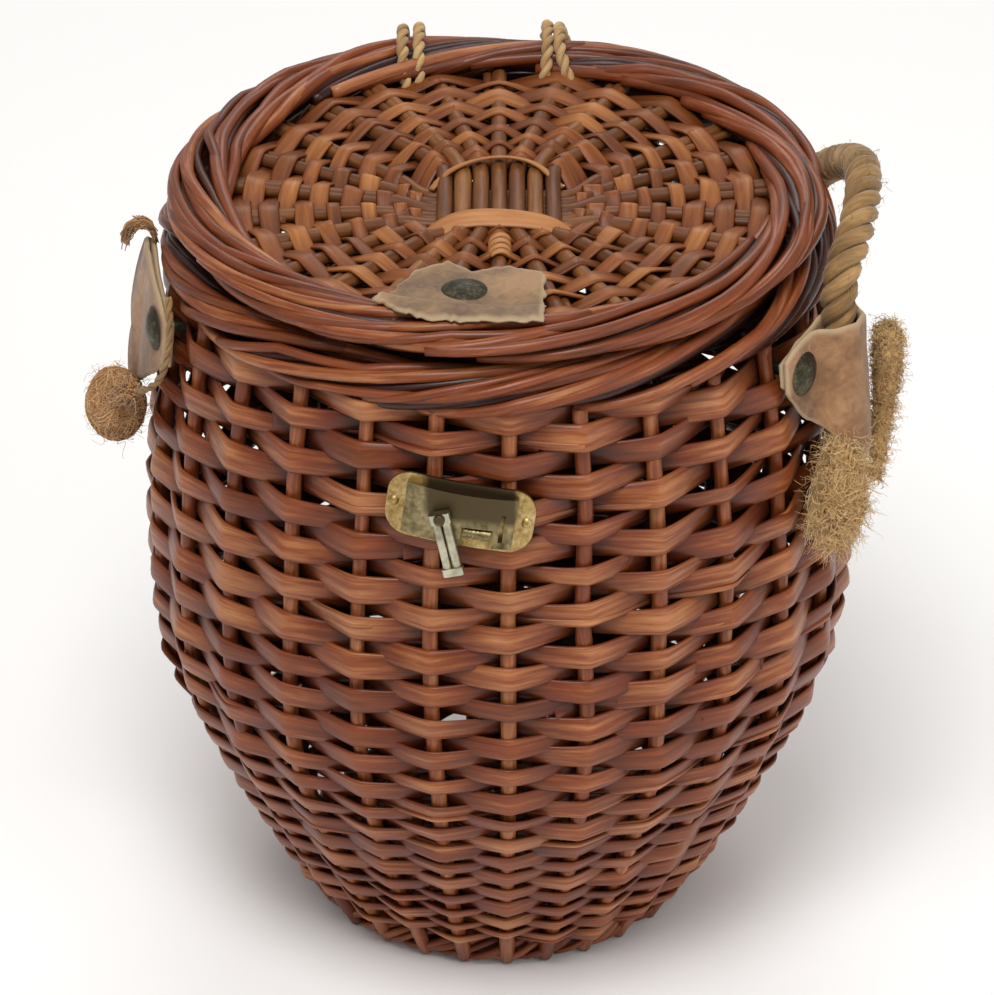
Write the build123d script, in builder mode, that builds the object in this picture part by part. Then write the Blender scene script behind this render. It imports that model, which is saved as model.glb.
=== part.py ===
# A pot-bellied willow fishing creel with a round hinged lid, in millimetres.
# The origin is the centre of the foot on the floor, +Z up, and the latch side faces -Y.
# Azimuths are degrees from +X towards +Y, so the front is at -90.
import os
from math import atan2, cos, degrees, hypot, pi, radians, sin, sqrt, tan

from build123d import *

os.makedirs("parts", exist_ok=True)

# ---- driving dimensions -------------------------------------------------

# body: outer radius of the woven wall at its knots, and how far each stretch bulges
foot_radius = 79.0
foot_height = 12.0
foot_width = 15.0
flank_radius, flank_height = 129.2, 100.0
belly_radius, belly_height = 140.0, 160.0
rim_radius, wall_top = 128.5, 281.0
flank_bulge = 1.6
belly_bulge = 3.0
neck_bulge = 2.4
wall_thick = 10.0

stake_count = 27
stake_diameter = 6.0
stake_turn = 1.8  # the stake nearest the front stands this far round from it
stake_crowding = 2.2  # degrees by which hand work draws the stakes towards front and back
stake_foot = 3.0  # the stakes start this far above the floor
stick_clearance = 0.3

base_thick = 11.0
base_stick_diameter = 5.0
base_long_sticks = 4
base_cross_sticks = 3

# borders: rolled rings on the body and on the lid
body_border_radius = 130.5
body_border_width = 21.5
body_border_height = 22.0
lid_border_radius = 126.0
lid_border_width = 24.0
lid_border_height = 14.0
border_rounding = 6.8
lid_gap = 0.3

# lid field, woven on sticks that cross at a hub
lid_weave_thick = 11.0
lid_weave_rise = 7.7  # from the border's underside up to the weave's top
hub_half_width = 25.0
hub_half_depth = 19.0
hub_y = -5.0  # the hub sits a little forward of the lid's centre
stick_cover = 0.9  # weave over the sticks
long_sticks = 7
long_stick_diameter = 6.2
cross_sticks = 6
cross_stick_diameter = 5.4
bye_stick_diameter = 3.6
bye_stick_start = 70.0
stick_bend = 16.0
binding_width = 6.5
binding_thick = 1.2

# hinge loops at the back, closed loops of twisted grass cord
loop_diameter = 5.0
loop_offsets = (-36.9, -31.5, 17.9, 29.6)
loop_gap = 0.3
loop_bend = 4.5

# carrying rope and its leather tabs, riveted through the wall
rope_diameter = 14.0
rope_gap = 0.3
rope_azimuth = -25.0
strand_diameter = 3.6
strand_azimuth = -176.5
leather_thick = 2.2
leaf_gap = 0.1
tab_bottom, tab_top = 233.0, 289.0
tab_wall_gap = 1.0
right_tip = 14.5  # from the rope round to the tab's front tip
left_tip = 19.0
rivet_height = 274.0
right_rivet_azimuth = -34.0
left_rivet_azimuth = -162.0
rivet_head_diameter = 17.0
rivet_head_height = 2.6
rivet_shank_diameter = 5.0
rivet_hole_gap = 0.1
burr_diameter = 12.0
burr_thick = 1.5
burr_gap = 0.9

# leather remnant of the closing strap, riveted to the lid
strap_thick = 2.4
strap_gap = 0.3
strap_rivet_x, strap_rivet_y = -12.4, -84.0

# latch: a bent brass plate with a raised housing, and a turning toggle
latch_x = -14.2
latch_height = 248.5
latch_lean = 7.0  # the wall leans in above, so the plate looks up a little
latch_tilt = 7.5  # the plate hangs down on its right
plate_length = 55.0
plate_width = 25.0
plate_corner = 9.0
plate_thick = 1.2
plate_gap = 0.9
latch_rivet_inset = 2.7
latch_rivet_diameter = 2.0
latch_rivet_head = 4.2
housing_length = 41.0
housing_width = 20.0
housing_height = 6.0
housing_skin = 1.0
roller_diameter = 4.4
roller_length = 10.0
roller_groove = 0.5
roller_x, roller_y = 7.5, -5.5
toggle_length = 25.0
tube_diameter = 3.4
tube_bore = 1.8
collar_length = 4.0
collar_wall = 0.5
toggle_hang = 13.6
toggle_x, toggle_z = -20.6, 250.0
toggle_gap = 0.4
post_diameter = 2.2
post_gap = 0.08
post_head_diameter = 4.2
post_head_height = 1.0
post_head_gap = 0.2

# ---- the wall's profile -------------------------------------------------

profile_knots = [
    (foot_radius, 0.0, flank_radius, flank_height, flank_bulge),
    (flank_radius, flank_height, belly_radius, belly_height, belly_bulge),
    (belly_radius, belly_height, rim_radius, wall_top, neck_bulge),
]


def arc_at(r0, z0, r1, z1, bulge, z):
    """Radius at a height on the arc from one knot to the next that stands off its chord."""
    length = hypot(r1 - r0, z1 - z0)
    arc_radius = (length**2 / 4 + bulge**2) / (2 * bulge)
    back = arc_radius - bulge
    centre_r = (r0 + r1) / 2 - back * (z1 - z0) / length
    centre_z = (z0 + z1) / 2 + back * (r1 - r0) / length
    return centre_r + sqrt(arc_radius**2 - (z - centre_z) ** 2)


def wall_radius(z):
    """Outer radius of the woven wall at a height."""
    for knots in profile_knots:
        if z <= knots[3]:
            break
    return arc_at(*knots, z)


def profile_arcs(inset, bottom, top):
    """The wall's profile from one height to another, drawn in from the outer face."""
    ends = [bottom, flank_height, belly_height, top]
    for low, high in zip(ends, ends[1:]):
        heights = (low, (low + high) / 2, high)
        ThreePointArc(*[(wall_radius(z) - inset, z) for z in heights])


def polar(radius, azimuth, z=0.0):
    """A point at a radius and an azimuth."""
    return (radius * cos(radians(azimuth)), radius * sin(radians(azimuth)), z)


def save(name, part):
    """Label one finished piece and write it."""
    part.label = name
    export_step(part, f"parts/{name}.step")


# ---- side stakes --------------------------------------------------------


def stake_rods(diameter, bottom, top):
    """Upright rods round the body, along the middle of the wall."""
    inset = wall_thick / 2
    with BuildPart() as rod:
        with BuildLine(Plane.XZ) as line:
            profile_arcs(inset, bottom, top)
        with BuildSketch(Plane(line.line @ 0, z_dir=line.line % 0)):
            Circle(diameter / 2)
        sweep()
    with BuildPart() as rods:
        for i in range(stake_count):
            even = stake_turn + i * 360 / stake_count
            azimuth = even - stake_crowding * sin(radians(2 * even)) - 90
            add(rod.part.rotate(Axis.Z, azimuth))
    return rods.part


stake_top = wall_top - 1
save("side_stakes", stake_rods(stake_diameter, stake_foot, stake_top))
channel_diameter = stake_diameter + 2 * stick_clearance
stake_channels = stake_rods(channel_diameter, stake_foot - stick_clearance, wall_top + 1)

# ---- base ---------------------------------------------------------------

base_radius = foot_radius - foot_width


def stick_line(points):
    """A stick's middle line, bent at its inner points."""
    if len(points) == 2:
        return Line(*points)
    return FilletPolyline(*points, radius=stick_bend)


def fanned_rods(diameter, count, pitch, step, reach, bend_at, z, along_y, hub_y=0.0, groove=False):
    """Rods that lie side by side at a hub and fan out to even angles at both ends.

    A groove is the square channel that such a rod lies in."""
    rods = []
    for i in range(count):
        place = i - (count - 1) / 2
        angle = radians(place * step)
        far = (reach * sin(angle), reach * cos(angle))
        near = (place * pitch, bend_at)
        outer, inner = [(far[0], -far[1]), far], [(near[0], -near[1]), near]
        if not along_y:
            outer, inner = [[(y, x) for x, y in pair] for pair in (outer, inner)]
        inner = [(x, y + hub_y) for x, y in inner]
        points = [outer[0], *inner, outer[1]]
        if place == 0:
            points = [points[0], points[-1]]
        with BuildPart() as rod:
            if groove:
                with BuildSketch(Plane.XY.offset(z - diameter / 2)):
                    with BuildLine():
                        stick_line(points)
                    trace(line_width=diameter)
                extrude(amount=diameter)
            else:
                with BuildLine(Plane.XY.offset(z)) as line:
                    stick_line(points)
                with BuildSketch(Plane(line.line @ 0, z_dir=line.line % 0)):
                    Circle(diameter / 2)
                sweep()
        rods.append(rod.part)
    return rods


def bundle(rods):
    """Separate rods as one piece."""
    with BuildPart() as group:
        add(rods)
    return group.part


base_ends = 2 * (base_long_sticks + base_cross_sticks)
base_step = 360 / base_ends
base_pitch = base_stick_diameter + 0.8
base_hub = base_cross_sticks * base_pitch
base_reach = base_radius - 2 * stick_clearance
base_long_z = base_thick - base_stick_diameter / 2
base_cross_z = base_long_z - base_stick_diameter


def base_fans(grow, reach, groove=False):
    """The base's two sets of sticks, or with a clearance their grooves."""
    diameter = base_stick_diameter + 2 * grow
    across = base_long_sticks * base_pitch
    long_set = fanned_rods(
        diameter,
        base_long_sticks,
        base_pitch,
        base_step,
        reach,
        base_hub,
        base_long_z,
        True,
        groove=groove,
    )
    cross_set = fanned_rods(
        diameter,
        base_cross_sticks,
        base_pitch,
        base_step,
        reach,
        across,
        base_cross_z,
        False,
        groove=groove,
    )
    return long_set, cross_set


base_long, base_cross = base_fans(0, base_reach)
save("base_long_sticks", bundle(base_long))
save("base_cross_sticks", bundle(base_cross))

base_long_channels, base_cross_channels = base_fans(stick_clearance, base_radius + 1, True)
with BuildPart() as base_weave:
    with BuildSketch():
        Circle(base_radius)
    extrude(amount=base_thick)
    add(base_long_channels + base_cross_channels, mode=Mode.SUBTRACT)
save("base_weave", base_weave.part)

with BuildPart() as foot_ring:
    with BuildSketch(Plane.XZ):
        Polygon(
            (base_radius, 0),
            (foot_radius, 0),
            (wall_radius(foot_height), foot_height),
            (base_radius, foot_height),
            align=None,
        )
    revolve(axis=Axis.Z)
    add(stake_channels, mode=Mode.SUBTRACT)
save("foot_ring", foot_ring.part)

# ---- rings that roll over the stakes, and the hinge loops ----------------

lid_bottom = wall_top + body_border_height + lid_gap
lid_top = lid_bottom + lid_border_height
lid_weave_top = lid_bottom + lid_weave_rise
lid_weave_bottom = lid_weave_top - lid_weave_thick


def border_ring(outer_radius, width, bottom, height):
    """A rolled ring with a rounded section."""
    with BuildPart() as ring:
        with BuildSketch(Plane.XZ):
            with Locations((outer_radius - width / 2, bottom + height / 2)):
                RectangleRounded(width, height, border_rounding)
        revolve(axis=Axis.Z)
    return ring.part


save(
    "body_border",
    border_ring(body_border_radius, body_border_width, wall_top, body_border_height),
)
save("lid_border", border_ring(lid_border_radius, lid_border_width, lid_bottom, lid_border_height))

loop_reach = loop_diameter / 2 + loop_gap
loop_out = body_border_radius + loop_reach + 0.3
loop_in = body_border_radius - body_border_width - loop_reach
loop_lid = lid_border_radius - lid_border_width - loop_reach - 0.7
loop_low = wall_top - loop_diameter


def loop_tube(offset, diameter):
    """A closed loop round both borders, in an upright plane that faces sideways."""

    def depth(radius):
        return sqrt(radius**2 - offset**2)

    corners = [
        (depth(loop_out), lid_top + loop_reach),
        (depth(loop_lid), lid_top + loop_reach),
        (depth(loop_lid), lid_weave_bottom - loop_reach),
        (depth(loop_in), wall_top + body_border_height / 2),
        (depth(loop_in), loop_low),
        (depth(loop_out), loop_low),
    ]
    with BuildPart() as tube:
        with BuildLine(Plane.YZ.offset(offset)) as line:
            FilletPolyline(*corners, radius=loop_bend, close=True)
        with BuildSketch(Plane(line.line @ 0, z_dir=line.line % 0)):
            Circle(diameter / 2)
        sweep()
    return tube.part


loop_channels = []
for number, offset in enumerate(loop_offsets, start=1):
    save(f"hinge_loop_{number}", loop_tube(offset, loop_diameter))
    loop_channels.append(loop_tube(offset, loop_diameter + 2 * loop_gap))

# ---- leather tabs, folded round the rope's ends ---------------------------

leaf_inner = wall_radius(tab_bottom) + tab_wall_gap
leaf_slope = (leaf_inner - tab_wall_gap - body_border_radius) / (tab_top - tab_bottom)
two_leaves = 2 * leather_thick + leaf_gap


def leaf_radius(z):
    """Radius of the tab's inner face at a height."""
    return leaf_inner - leaf_slope * (z - tab_bottom)


def outward_plane(azimuth, radius, z, slope):
    """A plane that faces out from the wall, with x running to the right as seen from outside."""
    facing = (cos(radians(azimuth)), sin(radians(azimuth)), slope)
    across = (-sin(radians(azimuth)), cos(radians(azimuth)), 0)
    return Plane(origin=polar(radius, azimuth, z), x_dir=across, z_dir=facing)


def rivet_plane(azimuth):
    """Where a tab's rivet head sits on the front leaf."""
    seat = leaf_radius(rivet_height) + two_leaves + rivet_hole_gap
    return outward_plane(azimuth, seat, rivet_height, leaf_slope)


def leather_tab(held_diameter, held_azimuth, tip, forward, rivet_azimuth):
    """A strip folded round what it holds, both leaves riveted to the wall in front of it."""
    fold = held_diameter / 2 + rope_gap + leather_thick / 2
    back = leaf_inner + leather_thick / 2
    front = back + leather_thick + leaf_gap
    out = back + 2 * fold
    half = degrees(fold / (back + fold))
    rise = half + degrees(leaf_gap / front) + 0.3
    route = [
        (tip, back),
        (tip / 2, back),
        (-half, back),
        (-half, out),
        (half, out),
        (rise, front),
        ((rise + tip) / 2, front),
        (tip, front),
    ]
    tight = 0.96 * fold
    radii = [back, tight, tight, tight, 0.4 * fold, front]
    points = [polar(r, held_azimuth + forward * angle) for angle, r in route]
    lean = Vector(*polar(-leaf_slope, held_azimuth, 1))
    fold_x = fold + leather_thick
    tip_x = radians(tip) * back
    corners = [
        (-fold_x, tab_bottom - 1),
        (-fold_x, tab_top + 1),
        (0.8 * tip_x, tab_top + 1),
        (tip_x, tab_top - 14),
        (tip_x - 8, tab_bottom + 26),
        (0, tab_bottom + 9),
        (-fold + 2, tab_bottom - 1),
    ]
    facing = Plane(
        origin=(0, 0, 0),
        x_dir=Vector(-sin(radians(held_azimuth)), cos(radians(held_azimuth)), 0) * forward,
        z_dir=Vector(*polar(1, held_azimuth)) * forward,
    )
    with BuildPart() as tab:
        with BuildSketch(Plane.XY.offset(tab_bottom)):
            with BuildLine():
                FilletPolyline(*points, radius=radii)
            trace(line_width=leather_thick)
        extrude(amount=(tab_top - tab_bottom) * lean.length, dir=lean)
        with BuildSketch(facing):
            Polygon(*corners, align=None)
        extrude(amount=2 * back, both=True, mode=Mode.INTERSECT)
        with BuildSketch(rivet_plane(rivet_azimuth)):
            Circle(rivet_shank_diameter / 2 + rivet_hole_gap)
        extrude(amount=leather_thick * 4, both=True, mode=Mode.SUBTRACT)
    return tab.part


save(
    "right_tab",
    leather_tab(rope_diameter, rope_azimuth, right_tip, -1, right_rivet_azimuth),
)
save(
    "left_tab",
    leather_tab(strand_diameter, strand_azimuth, left_tip, 1, left_rivet_azimuth),
)

# ---- domed rivets, each with a burr inside the wall -----------------------


def rivet(plane, head_diameter, head_height, shank_diameter, grip):
    """A low domed head with its shank, along the plane's normal."""
    dome_radius = (head_diameter**2 / 4 + head_height**2) / (2 * head_height)
    with BuildPart(plane) as one:
        with Locations((0, 0, head_height - dome_radius)):
            Sphere(dome_radius)
        split(bisect_by=plane, keep=Keep.TOP)
        with BuildSketch(plane):
            Circle(shank_diameter / 2)
        extrude(amount=-grip)
    return one.part


def burr(plane, diameter, hole_diameter, thick, depth):
    """A washer on the shank inside the wall."""
    with BuildPart() as one:
        with BuildSketch(plane.offset(-depth)):
            Circle(diameter / 2)
            Circle(hole_diameter / 2, mode=Mode.SUBTRACT)
        extrude(amount=-thick)
    return one.part


burr_depth = leaf_radius(rivet_height) + two_leaves - wall_radius(rivet_height)
burr_depth += wall_thick + burr_gap
tab_rivets = []
for side, azimuth in (("right", right_rivet_azimuth), ("left", left_rivet_azimuth)):
    plane = rivet_plane(azimuth)
    grip = burr_depth + burr_thick
    tab_rivets.append((plane, rivet_shank_diameter / 2 + rivet_hole_gap))
    head = rivet(plane, rivet_head_diameter, rivet_head_height, rivet_shank_diameter, grip)
    save(f"{side}_tab_rivet", head)
    hole = rivet_shank_diameter + 2 * rivet_hole_gap
    save(f"{side}_tab_burr", burr(plane, burr_diameter, hole, burr_thick, burr_depth))

# ---- latch ---------------------------------------------------------------

latch_azimuth = -90 + degrees(atan2(latch_x, sqrt(wall_radius(latch_height) ** 2 - latch_x**2)))
latch_slope = tan(radians(latch_lean))
bend_radius = wall_radius(latch_height) + plate_gap
upright = outward_plane(latch_azimuth, bend_radius, latch_height, latch_slope)
tilt = radians(latch_tilt)
latch_plane = Plane(
    origin=upright.origin,
    x_dir=upright.x_dir * cos(tilt) - upright.y_dir * sin(tilt),
    z_dir=upright.z_dir,
)
latch_section = Plane(
    origin=latch_plane.origin, x_dir=latch_plane.x_dir, z_dir=-latch_plane.y_dir
)


def bent_height(x):
    """How far the bent plate's back lies behind the plane at a distance along it."""
    return sqrt(bend_radius**2 - x**2) - bend_radius


def latch_rivet_plane(side):
    """A plane on the plate's front at one end, square to the bent plate."""
    reach = plate_length / 2 - latch_rivet_inset
    angle = side * reach / bend_radius
    x_dir, z_dir = latch_plane.x_dir, latch_plane.z_dir
    radius = bend_radius + plate_thick
    origin = latch_plane.origin + x_dir * (radius * sin(angle))
    origin += z_dir * (radius * cos(angle) - bend_radius)
    return Plane(
        origin=origin,
        x_dir=x_dir * cos(angle) - z_dir * sin(angle),
        z_dir=z_dir * cos(angle) + x_dir * sin(angle),
    )


latch_rivet_planes = [latch_rivet_plane(-1), latch_rivet_plane(1)]
latch_hole_radius = latch_rivet_diameter / 2 + rivet_hole_gap

with BuildPart() as latch_plate:
    with BuildSketch(latch_section):
        with Locations((0, -bend_radius)):
            Circle(bend_radius + plate_thick)
            Circle(bend_radius, mode=Mode.SUBTRACT)
    extrude(amount=plate_width, both=True)
    with BuildSketch(latch_plane):
        RectangleRounded(plate_length, plate_width, plate_corner)
    extrude(amount=housing_height * 2, both=True, mode=Mode.INTERSECT)
    for plane in latch_rivet_planes:
        with BuildSketch(plane):
            Circle(latch_hole_radius)
        extrude(amount=plate_thick * 3, both=True, mode=Mode.SUBTRACT)
save("latch_plate", latch_plate.part)

latch_burr_depth = plate_thick + plate_gap + wall_thick + burr_gap
latch_heads = []
latch_burrs = []
for plane in latch_rivet_planes:
    grip = latch_burr_depth + 1
    latch_heads.append(rivet(plane, latch_rivet_head, 1.2, latch_rivet_diameter, grip))
    latch_burrs.append(
        burr(plane, latch_rivet_head + 2, 2 * latch_hole_radius, 1.0, latch_burr_depth)
    )
save("latch_rivets", bundle(latch_heads))
save("latch_burrs", bundle(latch_burrs))

housing_front = housing_height + toggle_gap
tube_axis_height = housing_front + collar_wall + tube_diameter / 2
hang = radians(toggle_hang)
toggle_up = upright.y_dir * cos(hang) - upright.x_dir * sin(hang)
toggle_offset = (Vector(toggle_x, 0, toggle_z) - Vector(latch_x, 0, latch_height)).dot(upright.x_dir)
toggle_rise = (toggle_z - latch_height) / cos(radians(latch_lean))
pivot = upright.origin + upright.x_dir * toggle_offset + upright.y_dir * toggle_rise
toggle_plane = Plane(
    origin=pivot, x_dir=toggle_up.cross(upright.z_dir), z_dir=upright.z_dir
)

# the housing is a hollow raised cover, arched along its length, open towards the plate
housing_foot = bent_height(housing_length / 2) + plate_thick
housing_shoulder = 3.0


def housing_outline(inset, foot):
    """The arched section of the housing, drawn in by its skin."""
    half = housing_length / 2 - inset
    shoulder = (half, housing_shoulder + foot)
    top = housing_height - inset
    Line((-half, foot), (half, foot))
    Line((half, foot), shoulder)
    ThreePointArc(shoulder, (0, top), (-half, housing_shoulder + foot))
    Line((-half, housing_shoulder + foot), (-half, foot))


plate_cylinder_radius = bend_radius + plate_thick
with BuildPart() as latch_housing:
    with BuildSketch(latch_section):
        with BuildLine():
            housing_outline(0, housing_foot)
        make_face()
    extrude(amount=housing_width / 2, both=True)
    with BuildSketch(latch_section):
        with BuildLine():
            housing_outline(housing_skin, housing_foot - housing_skin)
        make_face()
    extrude(amount=housing_width / 2 - housing_skin, both=True, mode=Mode.SUBTRACT)
    with BuildSketch(latch_section):
        with Locations((0, -bend_radius)):
            Circle(plate_cylinder_radius)
    extrude(amount=housing_width, both=True, mode=Mode.SUBTRACT)
    # the window that shows the roller, and the narrow slot beside it
    with BuildSketch(latch_plane):
        with Locations((roller_x, roller_y - roller_diameter / 2)):
            Rectangle(roller_length + 1.6, roller_diameter * 2 + 1)
        with Locations((16.2, -2.0)):
            Rectangle(1.6, 11)
    extrude(amount=housing_height * 2, mode=Mode.SUBTRACT)
    with BuildSketch(toggle_plane):
        Circle(post_diameter / 2 + post_gap)
    extrude(amount=housing_height * 2, mode=Mode.SUBTRACT)
save("latch_housing", latch_housing.part)

roller_axis_height = plate_thick + roller_diameter / 2 + 0.1
roller_origin = (
    latch_plane.origin
    + latch_plane.x_dir * (roller_x - roller_length / 2)
    + latch_plane.y_dir * roller_y
    + latch_plane.z_dir * roller_axis_height
)
groove_count = 4
with BuildPart() as latch_roller:
    with BuildSketch(Plane(roller_origin, x_dir=latch_plane.y_dir, z_dir=latch_plane.x_dir)):
        Circle(roller_diameter / 2)
    extrude(amount=roller_length)
    for i in range(groove_count):
        away = latch_plane.x_dir * (roller_length * (i + 1) / (groove_count + 1) / 1.4)
        with BuildSketch(
            Plane(roller_origin + away, x_dir=latch_plane.y_dir, z_dir=latch_plane.x_dir)
        ):
            Circle(roller_diameter)
            Circle(roller_diameter / 2 - roller_groove, mode=Mode.SUBTRACT)
        extrude(amount=roller_groove, mode=Mode.SUBTRACT)
save("latch_roller", latch_roller.part)


# ---- toggle: two short tubes in a pair of collars, turning on a headed post ----

tube_spacing = tube_diameter + 0.1
block_depth = tube_diameter + 2 * collar_wall
block_width = tube_spacing + tube_diameter + 2 * collar_wall
tube_start = collar_length / 2
tube_length = toggle_length - collar_length


def along_toggle(distance, across, height):
    """A plane square to the toggle, a distance down it from the pivot, facing down it."""
    origin = toggle_plane.origin - toggle_plane.y_dir * distance
    origin += toggle_plane.x_dir * across + toggle_plane.z_dir * height
    return Plane(origin=origin, x_dir=toggle_plane.x_dir, z_dir=-toggle_plane.y_dir)


with BuildPart() as toggle_tubes:
    for side in (-1, 1):
        with BuildSketch(along_toggle(tube_start, side * tube_spacing / 2, tube_axis_height)):
            Circle(tube_diameter / 2)
            Circle(tube_bore / 2, mode=Mode.SUBTRACT)
        extrude(amount=tube_length)
save("toggle_tubes", toggle_tubes.part)

with BuildPart() as toggle_head:
    with BuildSketch(along_toggle(-collar_length / 2, 0, tube_axis_height)):
        RectangleRounded(block_width, block_depth, block_depth * 0.3)
    extrude(amount=collar_length)
    with BuildSketch(toggle_plane):
        Circle(post_diameter / 2 + post_gap)
    extrude(amount=tube_axis_height + block_depth, mode=Mode.SUBTRACT)
save("toggle_head", toggle_head.part)

toggle_end_at = tube_start + tube_length - collar_length * 0.75
with BuildPart() as toggle_end:
    with BuildSketch(along_toggle(toggle_end_at, 0, tube_axis_height)):
        RectangleRounded(block_width, block_depth, block_depth * 0.3)
        with Locations((-tube_spacing / 2, 0), (tube_spacing / 2, 0)):
            Circle(tube_diameter / 2, mode=Mode.SUBTRACT)
    extrude(amount=collar_length * 0.75)
save("toggle_end", toggle_end.part)

post_top = housing_front + block_depth + post_head_gap
with BuildPart() as toggle_post:
    with BuildSketch(toggle_plane.offset(plate_thick)):
        Circle(post_diameter / 2)
    extrude(amount=post_top - plate_thick)
    with BuildSketch(toggle_plane.offset(post_top)):
        Circle(post_head_diameter / 2)
    extrude(amount=post_head_height)
    front_face = toggle_post.faces().sort_by(Axis(toggle_plane.origin, toggle_plane.z_dir))[-1]
    fillet(front_face.edges(), post_head_height * 0.6)
save("toggle_post", toggle_post.part)


# ---- woven wall -----------------------------------------------------------

with BuildPart() as wall_weave:
    with BuildSketch(Plane.XZ):
        with BuildLine() as outer:
            profile_arcs(0, foot_height, wall_top)
        with BuildLine() as inner:
            profile_arcs(wall_thick, foot_height, wall_top)
        with BuildLine():
            Line(outer.line @ 0, inner.line @ 0)
            Line(outer.line @ 1, inner.line @ 1)
        make_face()
    revolve(axis=Axis.Z)
    add(stake_channels, mode=Mode.SUBTRACT)
    add(loop_channels, mode=Mode.SUBTRACT)
    rivet_holes = tab_rivets + [(plane, latch_hole_radius) for plane in latch_rivet_planes]
    for plane, hole_radius in rivet_holes:
        with BuildSketch(plane):
            Circle(hole_radius)
        extrude(amount=-2 * wall_thick, mode=Mode.SUBTRACT)
save("wall_weave", wall_weave.part)

# ---- lid ------------------------------------------------------------------

field_radius = lid_border_radius - lid_border_width
stick_ends = 2 * (long_sticks + cross_sticks)
stick_step = 360 / stick_ends
stick_reach = field_radius - 3 * stick_clearance
long_pitch = long_stick_diameter + 0.7
cross_pitch = cross_stick_diameter + 0.7
long_z = lid_weave_top - stick_cover - long_stick_diameter / 2
cross_z = long_z - (long_stick_diameter + cross_stick_diameter) / 2 - 0.05
bye_z = lid_weave_top - lid_weave_thick / 2


def lid_fans(grow, reach, groove=False):
    """The lid's two sets of sticks, or with a clearance their grooves."""
    long_diameter = long_stick_diameter + 2 * grow
    cross_diameter = cross_stick_diameter + 2 * grow
    long_bend = hub_half_depth + 3
    cross_bend = hub_half_width + 3
    long_set = fanned_rods(
        long_diameter,
        long_sticks,
        long_pitch,
        stick_step,
        reach,
        long_bend,
        long_z,
        True,
        hub_y,
        groove,
    )
    cross_set = fanned_rods(
        cross_diameter,
        cross_sticks,
        cross_pitch,
        stick_step,
        reach,
        cross_bend,
        cross_z,
        False,
        hub_y,
        groove,
    )
    return long_set, cross_set


# what passes down through the lid, as its place and radius
passing = [(strap_rivet_x, strap_rivet_y, rivet_shank_diameter / 2)]
passing += [(x, sqrt(loop_lid**2 - x**2), loop_diameter / 2) for x in loop_offsets]


def is_blocked(azimuth):
    """Whether a bye stick at an azimuth would run into something that passes through the lid."""
    along = polar(1, azimuth)
    for x, y, radius in passing:
        beside = abs(x * along[1] - y * along[0])
        ahead = x * along[0] + y * along[1]
        if ahead > 0 and beside < radius + bye_stick_diameter / 2 + 3 * stick_clearance:
            return True
    return False


def bye_rods(diameter, start, reach):
    """Short extra sticks half way between the ends of the long ones."""
    rods = []
    for i in range(stick_ends):
        azimuth = -90 + (i + 0.5) * stick_step
        if is_blocked(azimuth):
            continue
        ray = Plane(origin=polar(start, azimuth, bye_z), z_dir=polar(1, azimuth))
        with BuildPart() as rod:
            with BuildSketch(ray):
                Circle(diameter / 2)
            extrude(amount=reach - start)
        rods.append(rod.part)
    return rods


long_set, cross_set = lid_fans(0, stick_reach)
save("lid_long_sticks", bundle(long_set))
save("lid_cross_sticks", bundle(cross_set))
save("lid_bye_sticks", bundle(bye_rods(bye_stick_diameter, bye_stick_start, stick_reach)))

strap_rivet_seat = lid_weave_top + strap_gap + strap_thick
strap_rivet_plane = Plane(origin=(strap_rivet_x, strap_rivet_y, strap_rivet_seat))
strap_hole_radius = rivet_shank_diameter / 2 + rivet_hole_gap
long_channels, cross_channels = lid_fans(stick_clearance, field_radius + 1, True)
bye_channel_diameter = bye_stick_diameter + 2 * stick_clearance
bye_channels = bye_rods(bye_channel_diameter, bye_stick_start - stick_clearance, field_radius + 1)
with BuildPart() as lid_weave:
    with BuildSketch(Plane.XY.offset(lid_weave_bottom)):
        Circle(field_radius)
        with Locations((0, hub_y)):
            Rectangle(2 * hub_half_width, 2 * hub_half_depth, mode=Mode.SUBTRACT)
    extrude(amount=lid_weave_thick)
    add(long_channels + cross_channels + bye_channels, mode=Mode.SUBTRACT)
    add(loop_channels, mode=Mode.SUBTRACT)
    with BuildSketch(strap_rivet_plane):
        Circle(strap_hole_radius)
    extrude(amount=-2 * lid_weave_thick, mode=Mode.SUBTRACT)
save("lid_weave", lid_weave.part)

# two flat bands hold the long sticks down at the front and the back of the hub
for name, x, y, length, bow in (
    ("hub_band_front", -0.5, hub_y - hub_half_depth + 4.2, 46.0, 2.5),
    ("hub_band_back", -0.5, hub_y + hub_half_depth - 9.0, 44.0, 5.0),
):
    with BuildPart() as band:
        with BuildSketch(Plane.XY.offset(lid_weave_top - stick_cover)):
            with BuildLine():
                ThreePointArc((x - length / 2, y), (x, y + bow), (x + length / 2, y))
            trace(line_width=binding_width)
        extrude(amount=binding_thick)
    save(name, band.part)

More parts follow.
